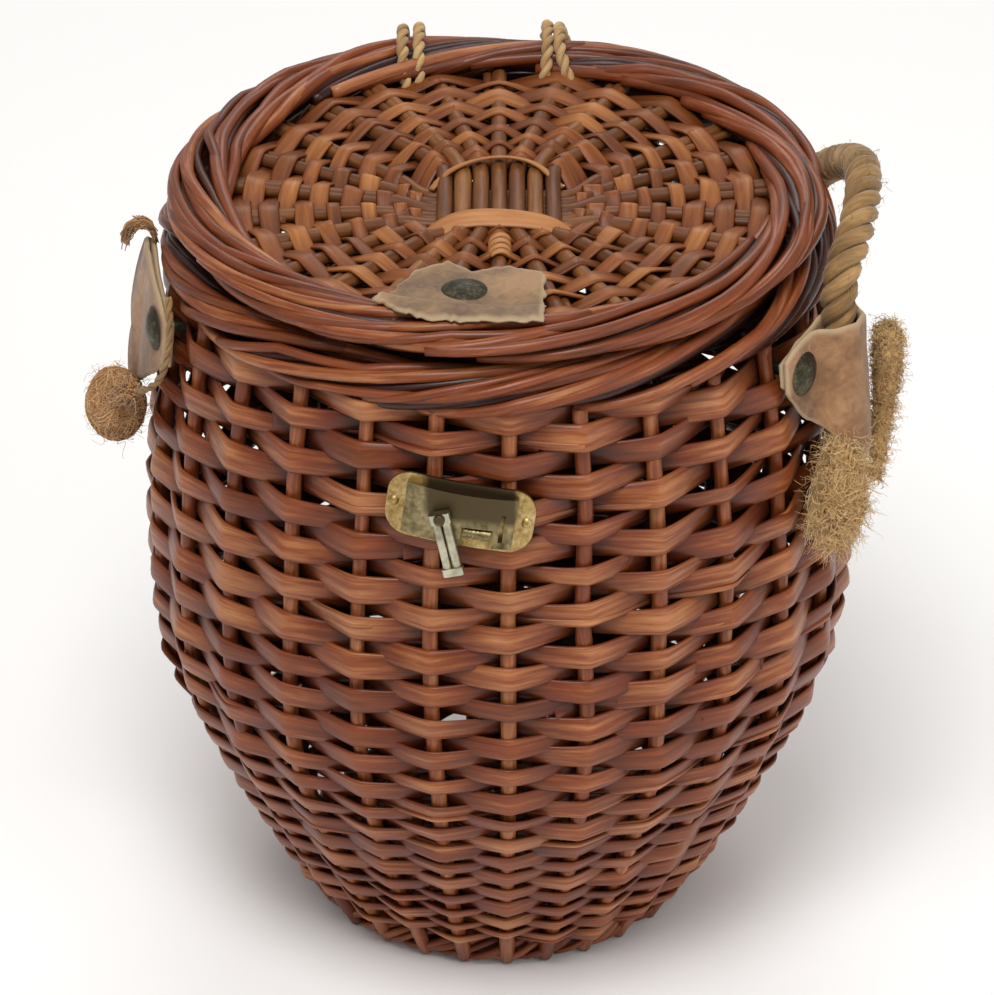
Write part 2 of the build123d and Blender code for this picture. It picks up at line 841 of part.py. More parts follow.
# the strap's remnant lies on the field and climbs the border; its edges are torn
strap_outline = [
    (-44.5, -102.0),
    (-43.0, -89.0),
    (-35.5, -74.0),
    (-32.5, -67.0),
    (-20.4, -60.5),
    (-9.6, -70.0),
    (4.8, -65.0),
    (18.0, -72.6),
    (17.0, -104.0),
    (15.0, -115.5),
    (-18.3, -115.8),
    (-26.0, -112.0),
]
strap_low = lid_weave_top + strap_gap + strap_thick / 2
strap_high = lid_top + strap_gap + strap_thick / 2
climb_start, climb_end = field_radius - 6.0, field_radius + 3.0
with BuildPart() as strap_remnant:
    with BuildSketch(Plane.XZ):
        with BuildLine():
            FilletPolyline(
                (field_radius / 2, strap_low),
                (climb_start, strap_low),
                (climb_end, strap_high),
                (lid_border_radius, strap_high),
                radius=6,
            )
        trace(line_width=strap_thick)
    revolve(axis=Axis.Z)
    with BuildSketch(Plane.XY):
        Polygon(*strap_outline, align=None)
    extrude(amount=2 * lid_top, mode=Mode.INTERSECT)
    with BuildSketch(strap_rivet_plane):
        Circle(strap_hole_radius)
    extrude(amount=strap_thick * 2, both=True, mode=Mode.SUBTRACT)
save("strap_remnant", strap_remnant.part)

strap_burr_depth = strap_thick + strap_gap + lid_weave_thick
strap_grip = strap_burr_depth + burr_thick
save(
    "strap_rivet",
    rivet(
        strap_rivet_plane,
        rivet_head_diameter + 1,
        rivet_head_height,
        rivet_shank_diameter,
        strap_grip,
    ),
)
save(
    "strap_burr",
    burr(strap_rivet_plane, burr_diameter, 2 * strap_hole_radius, burr_thick, strap_burr_depth),
)

# ---- rope -----------------------------------------------------------------

rope_in_tab = leather_thick + rope_gap + rope_diameter / 2
rope_foot = Vector(*polar(leaf_inner + rope_in_tab, rope_azimuth, tab_bottom))
rope_lean = Vector(*polar(-leaf_slope, rope_azimuth, 1))
rope_start = rope_foot - rope_lean * 2
rope_top = rope_foot + rope_lean * (tab_top + 8 - tab_bottom)
rope_route = [
    (134.9, -39.5, 316.5),
    (138.9, -7.0, 323.0),
    (137.2, 30.0, 308.0),
    (126.5, 66.0, 285.0),
    (114.0, 98.0, 245.0),
    (107.5, 118.0, 186.0),
    (103.0, 128.0, 130.0),
    (98.5, 133.0, 80.0),
    (96.0, 135.0, 44.0),
    (76.0, 144.0, 14.5),
    (38.0, 151.0, 7.2),
    (0.0, 152.0, 7.2),
    (-32.0, 146.0, 7.2),
    (-62.0, 130.0, 7.2),
]


def cord_tube(points, diameter):
    """A tube along straight runs joined by arcs as large as the runs allow."""
    points = [Vector(*point) for point in points]
    runs = [after - before for before, after in zip(points, points[1:])]
    radii = []
    for before, after in zip(runs, runs[1:]):
        half_turn = radians(before.get_angle(after) / 2)
        radii.append(0.45 * min(before.length, after.length) / tan(half_turn))
    with BuildPart() as tube:
        with BuildLine() as line:
            FilletPolyline(*points, radius=radii)
        with BuildSketch(Plane(line.line @ 0, z_dir=line.line % 0)):
            Circle(diameter / 2)
        sweep()
    length = line.wire().length
    expected = length * pi * diameter**2 / 4
    print("runs", [round(run.length) for run in runs], "radii", [round(r) for r in radii])
    print("length", round(length), "volume share", round(tube.part.volume / expected, 4))
    return tube.part


carry_rope = cord_tube([rope_start, rope_top] + rope_route, rope_diameter)
save("carry_rope", carry_rope)


def lobe(sections):
    """A closed lump of frayed fibre, through ellipses given as plane, half width, half depth."""
    with BuildPart() as lump:
        for plane, half_width, half_depth in sections:
            with BuildSketch(plane):
                Ellipse(half_width, half_depth)
        loft()
    return lump.part


def level_plane(radius, azimuth, z):
    """A level plane whose x runs along the wall."""
    across = (-sin(radians(azimuth)), cos(radians(azimuth)), 0)
    return Plane(origin=polar(radius, azimuth, z), x_dir=across, z_dir=(0, 0, 1))


fray_gap = 1.0
rope_radius = rope_diameter / 2
start_radius = hypot(rope_start.X, rope_start.Y)
tassel_sections = [
    (level_plane(start_radius, rope_azimuth, rope_start.Z - fray_gap), rope_radius, rope_radius)
]
for azimuth, z, half_width, half_depth in (
    (-28.5, 218, 14, 8.5),
    (-30.5, 205, 17, 9.0),
    (-31.0, 195, 14, 8.0),
    (-31.0, 187, 8, 5.0),
):
    centre = wall_radius(z) + fray_gap + half_depth
    tassel_sections.append((level_plane(centre, azimuth, z), half_width, half_depth))
save("rope_tassel", lobe(tassel_sections))

tuft_sections = []
for x, y, z, half_width in (
    (143.5, -53.0, 214, 2.8),
    (145.5, -47.0, 228, 3.8),
    (147.0, -42.0, 244, 4.8),
    (148.0, -39.0, 257, 6.2),
    (148.5, -37.0, 267, 6.4),
    (148.5, -36.5, 275, 3.5),
):
    tuft_sections.append((Plane(origin=(x, y, z)), half_width, half_width))
save("rope_tuft", lobe(tuft_sections))

rope_end = Vector(*rope_route[-1])
end_run = (rope_end - Vector(*rope_route[-2])).normalized()
fray_sections = []
for distance, half_width, half_depth in (
    (0, rope_radius, rope_radius),
    (14, 10, rope_radius),
    (30, 13, 6.0),
    (42, 9, 4.0),
):
    centre = rope_end + end_run * distance
    lying = Plane(origin=centre, x_dir=end_run.cross(Vector(0, 0, 1)), z_dir=end_run)
    fray_sections.append((lying, half_width, half_depth))
save("rope_end_fray", lobe(fray_sections))

# left side: the torn rope's stub in the tab, a frayed ball below it, and a loose strand
stub_radius = leaf_inner + leather_thick + rope_gap + strand_diameter / 2
stub_foot = Vector(*polar(stub_radius, strand_azimuth, tab_bottom))
stub_lean = Vector(*polar(-leaf_slope, strand_azimuth, 1))
ball_azimuth = -171.5
stub_points = [
    stub_foot + stub_lean * (tab_top - 4 - tab_bottom),
    stub_foot - stub_lean * 2,
    Vector(*polar(150, ball_azimuth, 222)),
]
save("left_rope_stub", cord_tube(stub_points, strand_diameter))

ball_radius = wall_radius(228) + 12.5
ball_sections = []
for z, lean, half_width in (
    (211, 0.0, 5.0),
    (217, 0.0, 10.5),
    (228, 0.8, 12.8),
    (239, 1.8, 9.8),
    (247, 1.8, 4.5),
):
    ball_plane = level_plane(ball_radius + lean, ball_azimuth, z)
    ball_sections.append((ball_plane, half_width, half_width))
save("left_rope_ball", lobe(ball_sections))

strand_points = [
    polar(134.5, -157.0, 293),
    polar(135.5, -154.3, 270),
    polar(139.5, -156.5, 254),
    polar(147.0, -165.0, 246),
    polar(150.5, -170.0, 240),
]
save("left_strand", cord_tube(strand_points, 4.0))

flag_points = [
    (-133.0, -9.0, 290.0),
    (-134.5, -10.0, 300.0),
    (-141.0, -11.0, 301.0),
    (-143.5, -12.5, 290.0),
]
save("left_strand_flag", cord_tube(flag_points, 2.6))
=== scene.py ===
from math import asin, cos, degrees, hypot, log, pi, radians, sin, sqrt, tan

import bpy
import numpy as np
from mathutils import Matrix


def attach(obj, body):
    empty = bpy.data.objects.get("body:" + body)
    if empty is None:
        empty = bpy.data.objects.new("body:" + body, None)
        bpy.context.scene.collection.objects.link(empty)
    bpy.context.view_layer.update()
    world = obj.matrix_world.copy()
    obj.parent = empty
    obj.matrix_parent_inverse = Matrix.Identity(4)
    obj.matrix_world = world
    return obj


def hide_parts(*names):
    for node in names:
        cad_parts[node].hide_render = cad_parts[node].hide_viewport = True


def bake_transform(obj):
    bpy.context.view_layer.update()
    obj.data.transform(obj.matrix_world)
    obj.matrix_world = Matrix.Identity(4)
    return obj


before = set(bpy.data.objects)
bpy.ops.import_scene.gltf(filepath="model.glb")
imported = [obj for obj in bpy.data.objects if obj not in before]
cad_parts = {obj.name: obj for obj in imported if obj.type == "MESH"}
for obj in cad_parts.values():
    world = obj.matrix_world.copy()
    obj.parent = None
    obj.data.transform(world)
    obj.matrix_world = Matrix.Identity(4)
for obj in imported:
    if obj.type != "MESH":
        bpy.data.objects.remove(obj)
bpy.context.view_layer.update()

# ---- camera, floor and light ----------------------------------------------
# A plain white table, one large soft lamp above the front and weaker ones at the right
# and behind. Sizes are in millimetres, and MM turns them to metres.

MM = 0.001


def linear(colour):
    """An sRGB hex colour as the linear colour that a shader takes."""
    parts = [int(colour[i : i + 2], 16) / 255 for i in (1, 3, 5)]
    return (*[p / 12.92 if p <= 0.04045 else ((p + 0.055) / 1.055) ** 2.4 for p in parts], 1.0)


def set_inputs(tree, node, inputs):
    """Gives inputs of a node a value, a link from an output or from a node's first output."""
    for key, value in inputs.items():
        if isinstance(value, bpy.types.Node):
            value = value.outputs[0]
        if isinstance(value, bpy.types.NodeSocket):
            tree.links.new(value, node.inputs[key])
        else:
            node.inputs[key].default_value = value


def add_node(tree, kind, inputs=None, stops=None, **settings):
    """One node with its inputs and settings; stops are a colour ramp's places and colours."""
    made = tree.nodes.new("ShaderNode" + kind)
    for name, value in settings.items():
        setattr(made, name, value)
    if stops:
        ramp = made.color_ramp.elements
        while len(ramp) < len(stops):
            ramp.new(0.5)
        for stop, (place, colour) in zip(ramp, stops):
            stop.position = place
            stop.color = linear(colour)
    set_inputs(tree, made, inputs or {})
    return made


def new_finish(name):
    """An empty material, its node tree and its shader."""
    material = bpy.data.materials.new(name)
    material.use_nodes = True
    tree = material.node_tree
    return material, tree, tree.nodes["Principled BSDF"]


camera_data = bpy.data.cameras.new("camera")
camera_data.lens = 181.56
camera_data.shift_x, camera_data.shift_y = -0.002, 0.0479
camera_data.clip_end = 20
camera = bpy.data.objects.new("camera", camera_data)
camera.location = (0.0, -1.6905, 1.2187)
camera_pitch = 32.3  # degrees below level
camera.rotation_euler = (radians(90 - camera_pitch), 0, 0)
bpy.context.scene.collection.objects.link(camera)
bpy.context.scene.camera = camera
bpy.context.scene.view_settings.view_transform = "Standard"

paper, tree, shader = new_finish("matt_white_paper")
set_inputs(tree, shader, {"Base Color": linear("#fbfaf9"), "Roughness": 0.9})
floor_mesh = bpy.data.meshes.new("floor")
half, low = 6.0, -0.0005  # metres; the table's top lies just under the creel
corners = [(-half, -half, low), (half, -half, low), (half, half, low), (-half, half, low)]
floor_mesh.from_pydata(corners, [], [(0, 1, 2, 3)])
floor = bpy.data.objects.new("floor", floor_mesh)
floor_mesh.materials.append(paper)
bpy.context.scene.collection.objects.link(floor)

for name, place, aim, size, power in (
    ("key", (-0.15, -0.9, 2.0), (0, 0, 0.15), 0.8, 27),
    ("fill", (1.5, -1.2, 0.8), (0, 0, 0.15), 1.0, 7),
    ("rim", (0.1, 1.5, 1.6), (0, 0, 0.2), 1.0, 9),
):
    lamp_data = bpy.data.lights.new(name, "AREA")
    lamp_data.size = size
    lamp_data.energy = power
    lamp = bpy.data.objects.new(name, lamp_data)
    lamp.location = place
    away = np.array(place) - np.array(aim)
    tip = np.arctan2(hypot(away[0], away[1]), away[2])
    lamp.rotation_euler = (tip, 0, np.arctan2(away[1], away[0]) + pi / 2)
    bpy.context.scene.collection.objects.link(lamp)
world = bpy.data.worlds.new("studio")
world.use_nodes = True
backdrop = {"Color": linear("#fffdfa"), "Strength": 0.5}
set_inputs(world.node_tree, world.node_tree.nodes["Background"], backdrop)
bpy.context.scene.world = world

# ---- carrying rope ----------------------------------------------------------
# A three-strand manila rope, 14 mm thick, laid to the right. It comes up through the
# right leather tab, arches over beside the lid and falls behind, where it lies with its
# broken end frayed out. Each strand shows its own yarns, twisted the other way.

UP = np.array([0, 0, 1.0])
rope_radius = 7.0
rope_route = [
    (129.93, -60.59, 230.99), (123.98, -57.81, 297.65), (134.9, -39.5, 316.5), (138.9, -7, 323),
    (137.2, 30, 308), (126.5, 66, 285), (114, 98, 245), (107.5, 118, 186), (103, 128, 130),
    (98.5, 133, 80), (96, 135, 44), (76, 144, 14.5), (38, 151, 7.2), (0, 152, 7.2),
    (-32, 146, 7.2), (-62, 130, 7.2),
]


def smooth_line(name, route):
    """The points of a smooth line through a route in millimetres, read from its spline."""
    curve = bpy.data.curves.new(name, "CURVE")
    curve.dimensions = "3D"
    curve.resolution_u = 24
    spline = curve.splines.new("NURBS")
    spline.points.add(len(route) - 1)
    for point, place in zip(spline.points, route):
        point.co = (*[c * MM for c in place], 1.0)
    spline.order_u = 3
    spline.use_endpoint_u = True
    holder = bpy.data.objects.new(name, curve)
    bpy.context.scene.collection.objects.link(holder)
    bpy.context.view_layer.update()
    line = bpy.data.meshes.new_from_object(holder)
    points = np.array([v.co[:] for v in line.vertices])
    bpy.data.objects.remove(holder)
    bpy.data.meshes.remove(line)
    return points


def distances(points):
    """How far along a line each of its points is."""
    return np.r_[0, np.cumsum(np.linalg.norm(np.diff(points, axis=0), axis=1))]


def evenly(points, spacing):
    """A line's points set out again at an even spacing, and how far along each one is."""
    along = distances(points)
    count = max(3, int(round(along[-1] / spacing)) + 1)
    steps = np.linspace(0, along[-1], count)
    return np.stack([np.interp(steps, along, points[:, i]) for i in range(3)], axis=1), steps


def round_corners(points, times=3):
    """A broken line with its corners cut back again and again until it bends."""
    points = np.array(points, dtype=float)
    for _ in range(times):
        quarter = points[:-1] * 0.75 + points[1:] * 0.25
        three = points[:-1] * 0.25 + points[1:] * 0.75
        inner = np.stack([quarter, three], axis=1).reshape(-1, 3)
        points = np.vstack([points[:1], inner[1:-1], points[-1:]])
    return points


def unit(vectors):
    """Vectors brought to length 1."""
    return vectors / np.maximum(np.linalg.norm(vectors, axis=-1, keepdims=True), 1e-12)


def turning_frame(points):
    """For each point of a line its direction and two sideways directions that don't twist."""
    ahead = unit(np.gradient(points, axis=0))
    side = np.cross(ahead[0], (0.3, 0.2, 1.0))
    sides = []
    for direction in ahead:
        side = side - direction * np.dot(side, direction)
        side = side / np.linalg.norm(side)
        sides.append(side)
    sides = np.array(sides)
    return ahead, sides, np.cross(ahead, sides)


def new_bundle():
    """An empty bundle of rods, strips or fibres that becomes one mesh."""
    return {"points": [], "faces": [], "grain": [], "tone": [], "depth": [], "count": 0}


def lay_strip(
    bundle, path, out, half_wide, half_thick, tone, depth=1.0, sides=8, square=2.0, ridges=None
):
    """Adds one rod or strip along a path in metres; out is the way its flat side faces.

    square above 2 makes the section boxier. ridges is a count, a height and a twist that
    raise yarns on it. tone is the strip's own shade of colour and depth how far out it lies,
    0 to 1; the willow finish paints shade from depth, the deeper the darker."""
    n = len(path)
    ahead = unit(np.gradient(path, axis=0))
    across = unit(np.cross(ahead, np.broadcast_to(out, (n, 3))))
    up = np.cross(across, ahead)
    half_wide = np.broadcast_to(half_wide, n)[:, None]
    half_thick = np.broadcast_to(half_thick, n)[:, None]
    angles = np.arange(sides) * 2 * pi / sides
    c, s = np.cos(angles), np.sin(angles)
    x = np.sign(c) * np.abs(c) ** (2 / square)
    y = np.sign(s) * np.abs(s) ** (2 / square)
    along = distances(path)
    swell = np.ones((n, sides))
    if ridges:
        count, height, twist = ridges
        swell = 1 + height * (np.abs(np.cos((count * angles + along[:, None] * twist) / 2)) - 0.6)
    wide = (half_wide * x * swell)[:, :, None] * across[:, None, :]
    thick = (half_thick * y * swell)[:, :, None] * up[:, None, :]
    ring = (path[:, None, :] + wide + thick).reshape(-1, 3)
    points = np.vstack([ring, path[:1], path[-1:]])
    base = bundle["count"]
    i = np.arange(n - 1)[:, None] * sides
    j = np.arange(sides)
    k = (j + 1) % sides
    quads = np.stack([i + j, i + k, i + sides + k, i + sides + j], axis=-1).reshape(-1, 4)
    last = (n - 1) * sides
    first_cap = np.stack([k, j, np.full(sides, n * sides)], axis=-1)
    last_cap = np.stack([last + j, last + k, np.full(sides, n * sides + 1)], axis=-1)
    bundle["faces"].append((quads + base, np.vstack([first_cap, last_cap]) + base))
    bundle["points"].append(points)
    around = np.broadcast_to(angles / (2 * pi), (n, sides)) * 2 * np.maximum(half_wide, half_thick)
    grain = np.stack([np.repeat(along, sides), around.ravel(), np.full(n * sides, tone)], axis=1)
    caps = np.array([[along[0], 0, tone], [along[-1], 0, tone]])
    bundle["grain"].append(np.vstack([grain, caps]))
    bundle["tone"].append(np.full(len(points), tone))
    # a flat strip counts as lying deeper along its edges, so they come out darker
    depth = np.broadcast_to(depth, n)
    edge_depth_scale = np.ones(sides) if square <= 2 else 1 - 0.45 * np.abs(x) ** 6
    bundle["depth"].append(np.r_[(depth[:, None] * edge_depth_scale).ravel(), depth[0], depth[-1]])
    bundle["count"] += len(points)


def new_piece(name, mesh, material, body):
    """A smooth piece of one material that rides on a body, if one is named."""
    mesh.polygons.foreach_set("use_smooth", np.ones(len(mesh.polygons), dtype=bool))
    mesh.materials.append(material)
    piece = bpy.data.objects.new(name, mesh)
    bpy.context.scene.collection.objects.link(piece)
    if body:
        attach(piece, body)
    return piece


def finish_bundle(name, bundle, material, body):
    """Makes a bundle into one piece."""
    points = np.vstack(bundle["points"])
    # nothing goes below the table
    points[:, 2] = np.maximum(points[:, 2], 0.3 * MM)
    quads = np.vstack([q for q, _ in bundle["faces"]])
    triangles = np.vstack([t for _, t in bundle["faces"]])
    mesh = bpy.data.meshes.new(name)
    mesh.vertices.add(len(points))
    mesh.vertices.foreach_set("co", points.ravel())
    mesh.loops.add(quads.size + triangles.size)
    mesh.loops.foreach_set("vertex_index", np.r_[quads.ravel(), triangles.ravel()])
    starts = np.r_[np.arange(len(quads)) * 4, quads.size + np.arange(len(triangles)) * 3]
    mesh.polygons.add(len(starts))
    mesh.polygons.foreach_set("loop_start", starts)
    mesh.update(calc_edges=True)
    mesh.validate()
    grain = mesh.attributes.new("grain", "FLOAT_VECTOR", "POINT")
    grain.data.foreach_set("vector", np.vstack(bundle["grain"]).ravel())
    for key in ("tone", "depth"):
        field = mesh.attributes.new(key, "FLOAT", "POINT")
        field.data.foreach_set("value", np.concatenate(bundle[key]))
    return new_piece(name, mesh, material, body)


def fibre_finish(name, dark, middle, pale, yarn_mm):
    """Raw plant fibre: matt, with fine pale and dark hairs along each yarn and a soft sheen."""
    material, tree, shader = new_finish(name)
    grain = add_node(tree, "Attribute", attribute_name="grain").outputs["Vector"]
    tone = add_node(tree, "Attribute", attribute_name="tone").outputs["Fac"]
    place = add_node(tree, "TexCoord").outputs["Object"]
    # hairs are drawn a few times coarser than real fibres so that they show
    fine = (120.0, 1000 / yarn_mm, 40.0)
    hair = add_node(tree, "VectorMath", {0: grain, 1: fine}, operation="MULTIPLY")
    noise = {"Scale": 1.0, "Detail": 4.0, "Roughness": 0.65}
    streak = add_node(tree, "TexNoise", {"Vector": hair, **noise})
    blotch = add_node(tree, "TexNoise", {"Vector": place, "Scale": 55.0, "Detail": 3.0})
    mixed = add_node(tree, "Math", {0: streak, 1: tone}, operation="ADD")
    mixed = add_node(tree, "Math", {0: mixed, 1: blotch}, operation="ADD")
    mixed = add_node(tree, "Math", {0: mixed, 1: 3.0}, operation="DIVIDE")
    colour = add_node(tree, "ValToRGB", {0: mixed}, [(0.3, dark), (0.5, middle), (0.68, pale)])
    bump = add_node(tree, "Bump", {"Height": streak, "Strength": 0.6, "Distance": 0.0003})
    surface = {"Roughness": 0.75, "Sheen Weight": 0.25, "Sheen Roughness": 0.5}
    set_inputs(tree, shader, {"Base Color": colour, "Normal": bump, **surface})
    return material


manila = fibre_finish("manila_laid_rope", "#452c12", "#866436", "#bd955e", 0.5)
loose_manila = fibre_finish("manila_loose_fibre", "#94703c", "#cfa76a", "#f2d8a6", 0.5)
felted_manila = fibre_finish("manila_felted_fibre", "#6b4524", "#aa7a48", "#ddb27c", 0.5)
rope_line, rope_along = evenly(smooth_line("rope_route", rope_route), 1.3 * MM)
rope_ahead, rope_side, rope_up = turning_frame(rope_line)


def lay_plies(bundle, path, along, lay, offset, wide, thick, tones, sides, ridges, start=0.0):
    """Plies laid round each other along a path, one for each tone.

    lay is the length of one turn and start its angle. All sizes are in metres."""
    _, side, up = turning_frame(path)
    for ply, tone in enumerate(tones):
        turn = ply * 2 * pi / len(tones) + along / lay * 2 * pi + start
        out = side * np.cos(turn)[:, None] + up * np.sin(turn)[:, None]
        line = path + out * offset
        lay_strip(bundle, line, out, wide, thick, tone, sides=sides, ridges=ridges)


strand_radius = 3.05
strand_offset = (rope_radius - strand_radius) * MM
rope_lay, yarn_lay = 25.0, 16.0  # length of one turn; this rope is laid hard
rope_bundle = new_bundle()
lay_plies(
    rope_bundle, rope_line, rope_along, rope_lay * MM, strand_offset, strand_radius * MM,
    strand_radius * MM, (0.45, 0.53, 0.61), sides=28, ridges=(9, 0.13, -2 * pi / (yarn_lay * MM)),
)
rope = finish_bundle("carry_rope_laid", rope_bundle, manila, "basket")
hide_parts("carry_rope")


def fibres(bundle, random, roots, ways, length, curl, droop, thick, tone, steps=9, waves=1.3):
    """Adds loose fibres from root points; each sets off its own way, curls and droops."""
    for root, way in zip(roots, ways):
        size = length * random.uniform(0.55, 1.15)
        kink = unit(random.normal(size=3))
        kink_two = unit(random.normal(size=3))
        phase = random.uniform(0, 2 * pi, 2)
        u = np.linspace(0, 1, steps)[:, None]
        swing = np.sin(u * 2 * pi * waves + phase[0]) - np.sin(phase[0])
        swing_two = np.sin(u * 2 * pi * waves * 1.6 + phase[1]) - np.sin(phase[1])
        line = root + way * size * u + (kink * swing + kink_two * swing_two) * curl * size
        line = line - UP * droop * size * u**2
        width = thick * (1.1 - 0.75 * u[:, 0])
        shade = tone + random.uniform(-0.22, 0.25)
        lay_strip(bundle, line, unit(kink + 0.01), width, width, shade, sides=4)


# short hairs that stand off the laid rope all the way along
hair_random = np.random.default_rng(11)
hair_bundle = new_bundle()
hair_count = 420
hair_at = hair_random.integers(20, len(rope_line) - 6, hair_count)
hair_out = unit(
    rope_side[hair_at] * hair_random.normal(size=(hair_count, 1))
    + rope_up[hair_at] * hair_random.normal(size=(hair_count, 1))
)
roots = rope_line[hair_at] + hair_out * (rope_radius - 0.8) * MM
ways = hair_out * 0.5 + rope_ahead[hair_at] * hair_random.choice([-1, 1], (hair_count, 1))
look = {"length": 7 * MM, "curl": 0.12, "droop": 0.1, "thick": 0.11 * MM, "tone": 0.62}
fibres(hair_bundle, hair_random, roots, unit(ways), **look, steps=6)
rope_hair = finish_bundle("carry_rope_hairs", hair_bundle, manila, "basket")


def radial(azimuth):
    """The unit direction outward at an azimuth in degrees."""
    return np.array([cos(radians(azimuth)), sin(radians(azimuth)), 0.0])


def places_on(random, line, sizes, count):
    """Random places along a thick line: the knot before each, its middle and its size."""
    place = random.uniform(0, len(line) - 1.01, count)
    low = place.astype(int)
    share = (place - low)[:, None]
    middle = line[low] * (1 - share) + line[low + 1] * share
    return low, middle, sizes[low] * (1 - share[:, 0]) + sizes[low + 1] * share[:, 0]


def lay_heart(bundle, line, sizes, out, wide, thick, sides, ridges):
    """The felted heart that shows between loose fibres, thick as sizes along a line."""
    heart = round_corners(line, 3)
    size = np.interp(np.linspace(0, len(line) - 1, len(heart)), range(len(line)), sizes) * MM
    lay_strip(bundle, heart * MM, out, size * wide, size * thick, 0.3, sides=sides, ridges=ridges)


# the tassel: straight pale fibres out of the rope's foot, with curly fuzz below
tassel_random = np.random.default_rng(5)
tassel_bundle = new_bundle()
tassel_root = np.array(rope_route[0]) - UP * 1.5
tassel_out, tab_out = radial(-31), radial(-25)
tassel_side = np.array([-tassel_out[1], tassel_out[0], 0.0])
straight_count = 420
disc = tassel_random.uniform(-1, 1, (straight_count, 2)) * 5.6
roots = tassel_root + disc[:, :1] * tassel_side + disc[:, 1:] * tab_out
aims = (
    -UP
    + tassel_side * (disc[:, :1] * 0.038 - 0.06)
    - tab_out * 0.13
    + tassel_random.normal(size=(straight_count, 3)) * 0.07
)
look = {"length": 34 * MM, "curl": 0.035, "droop": 0.03, "thick": 0.26 * MM, "tone": 0.75}
fibres(tassel_bundle, tassel_random, roots * MM, unit(aims), **look, steps=10)
fuzz_line = np.array(
    [(129, -67, 240), (130, -72.5, 231), (130, -75.5, 222), (129.5, -77, 213), (129, -77.5, 206)]
)
fuzz_size = np.array([8.0, 12.8, 15.6, 14.0, 8.0])
fuzz_count = 2700
_, middle, size = places_on(tassel_random, fuzz_line, fuzz_size, fuzz_count)
ring = tassel_random.uniform(0, 2 * pi, fuzz_count)
reach = np.sqrt(tassel_random.uniform(0.4, 1.0, fuzz_count)) * size * 0.85
fuzz_roots = (
    middle
    + tassel_side * (np.cos(ring) * reach)[:, None]
    + tassel_out * (np.sin(ring) * reach * 0.42)[:, None]
)
fuzz_face = unit(tassel_side * np.cos(ring)[:, None] + tassel_out * np.sin(ring)[:, None] * 2)
fuzz_ways = unit(
    unit(np.cross(fuzz_face, tassel_random.normal(size=(fuzz_count, 3))))
    + fuzz_face * 0.03
    - UP * 0.5
)
look = {"length": 11.5 * MM, "curl": 0.15, "droop": 0.1, "thick": 0.165 * MM, "tone": 0.5}
fibres(tassel_bundle, tassel_random, fuzz_roots * MM, fuzz_ways, **look, steps=14, waves=1.5)
lay_heart(tassel_bundle, fuzz_line, fuzz_size, tassel_out, 0.74, 0.36, 24, (11, 0.25, 260.0))
tassel = finish_bundle("rope_tassel_fibres", tassel_bundle, loose_manila, "basket")
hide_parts("rope_tassel")

# the tuft: fibres that strayed up behind the tab from the tassel
tuft_bundle = new_bundle()
tuft_count = 1500
tuft_line = np.array(
    [(143.5, -53, 214), (145.5, -47, 228), (147, -42, 244)]
    + [(148, -39, 256), (148, -37, 264), (147.5, -36.5, 270)]
)
tuft_size = np.array([3.0, 4.2, 5.2, 6.6, 6.8, 4.4])
low, middle, size = places_on(tassel_random, tuft_line, tuft_size, tuft_count)
tuft_face = unit(tassel_random.normal(size=(tuft_count, 3)))
roots = middle + tuft_face * (size * 0.8)[:, None]
ways = unit(
    (tuft_line[low + 1] - tuft_line[low]) / 28.0
    + unit(np.cross(tuft_face, tassel_random.normal(size=(tuft_count, 3))))
)
look = {"length": 6.5 * MM, "curl": 0.17, "droop": 0.05, "thick": 0.16 * MM, "tone": 0.45}
fibres(tuft_bundle, tassel_random, roots * MM, ways, **look, steps=12, waves=1.8)
lay_heart(tuft_bundle, tuft_line, tuft_size, (1.0, 0.3, 0), 0.78, 0.78, 20, (7, 0.25, 240.0))
tuft = finish_bundle("rope_tuft_fibres", tuft_bundle, loose_manila, "basket")
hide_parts("rope_tuft")

# the broken far end, frayed out on the floor
fray_bundle = new_bundle()
fray_count = 260
end_ahead = unit(np.array(rope_route[-1]) - np.array(rope_route[-2]))
end_side = np.array([-end_ahead[1], end_ahead[0], 0.0])
disc = tassel_random.uniform(-1, 1, (fray_count, 2)) * 5.0
roots = rope_line[-1] + (disc[:, :1] * end_side + disc[:, 1:] * UP) * MM
aims = end_ahead + end_side * disc[:, :1] * 0.05 + tassel_random.normal(size=(fray_count, 3)) * 0.06
aims[:, 2] = -0.03 - disc[:, 1] * 0.012
look = {"length": 34 * MM, "curl": 0.04, "droop": 0.0, "thick": 0.25 * MM, "tone": 0.6}
fibres(fray_bundle, tassel_random, roots, unit(aims), **look)
for part in fray_bundle["points"]:
    part[:, 2] = np.maximum(part[:, 2], 0.4 * MM)
fray = finish_bundle("rope_end_frayed", fray_bundle, loose_manila, "basket")
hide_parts("rope_end_fray")

# ---- side stakes and woven wall ---------------------------------------------
# Twenty-seven willow rods stand in the foot and carry the wall. The wall is plain
# randing: one flat split weaver after another goes before one stake and behind the next,
# and because their number is odd each round falls opposite the one below it.

stake_count = 27
wall_top = 281.0
# from the wall's outside to the stakes' middle lines, and a weaver's swing to either side
stake_depth, weaver_swing = 5.0, 4.0
# radius and height of an arc's two ends and how far it bulges
profile_knots = [
    (79.0, 0.0, 129.2, 100.0, 1.6),
    (129.2, 100.0, 140.0, 160.0, 3.0),
    (140.0, 160.0, 128.5, 281.0, 2.4),
]


def wall_radius(z):
    """Outer radius of the wall at a height, both in millimetres."""
    for r0, z0, r1, z1, bulge in profile_knots:
        if z <= z1:
            break
    chord = hypot(r1 - r0, z1 - z0)
    arc = (chord**2 / 4 + bulge**2) / (2 * bulge)
    back = arc - bulge
    centre_r = (r0 + r1) / 2 - back * (z1 - z0) / chord
    centre_z = (z0 + z1) / 2 + back * (r1 - r0) / chord
    return centre_r + sqrt(arc**2 - (z - centre_z) ** 2)


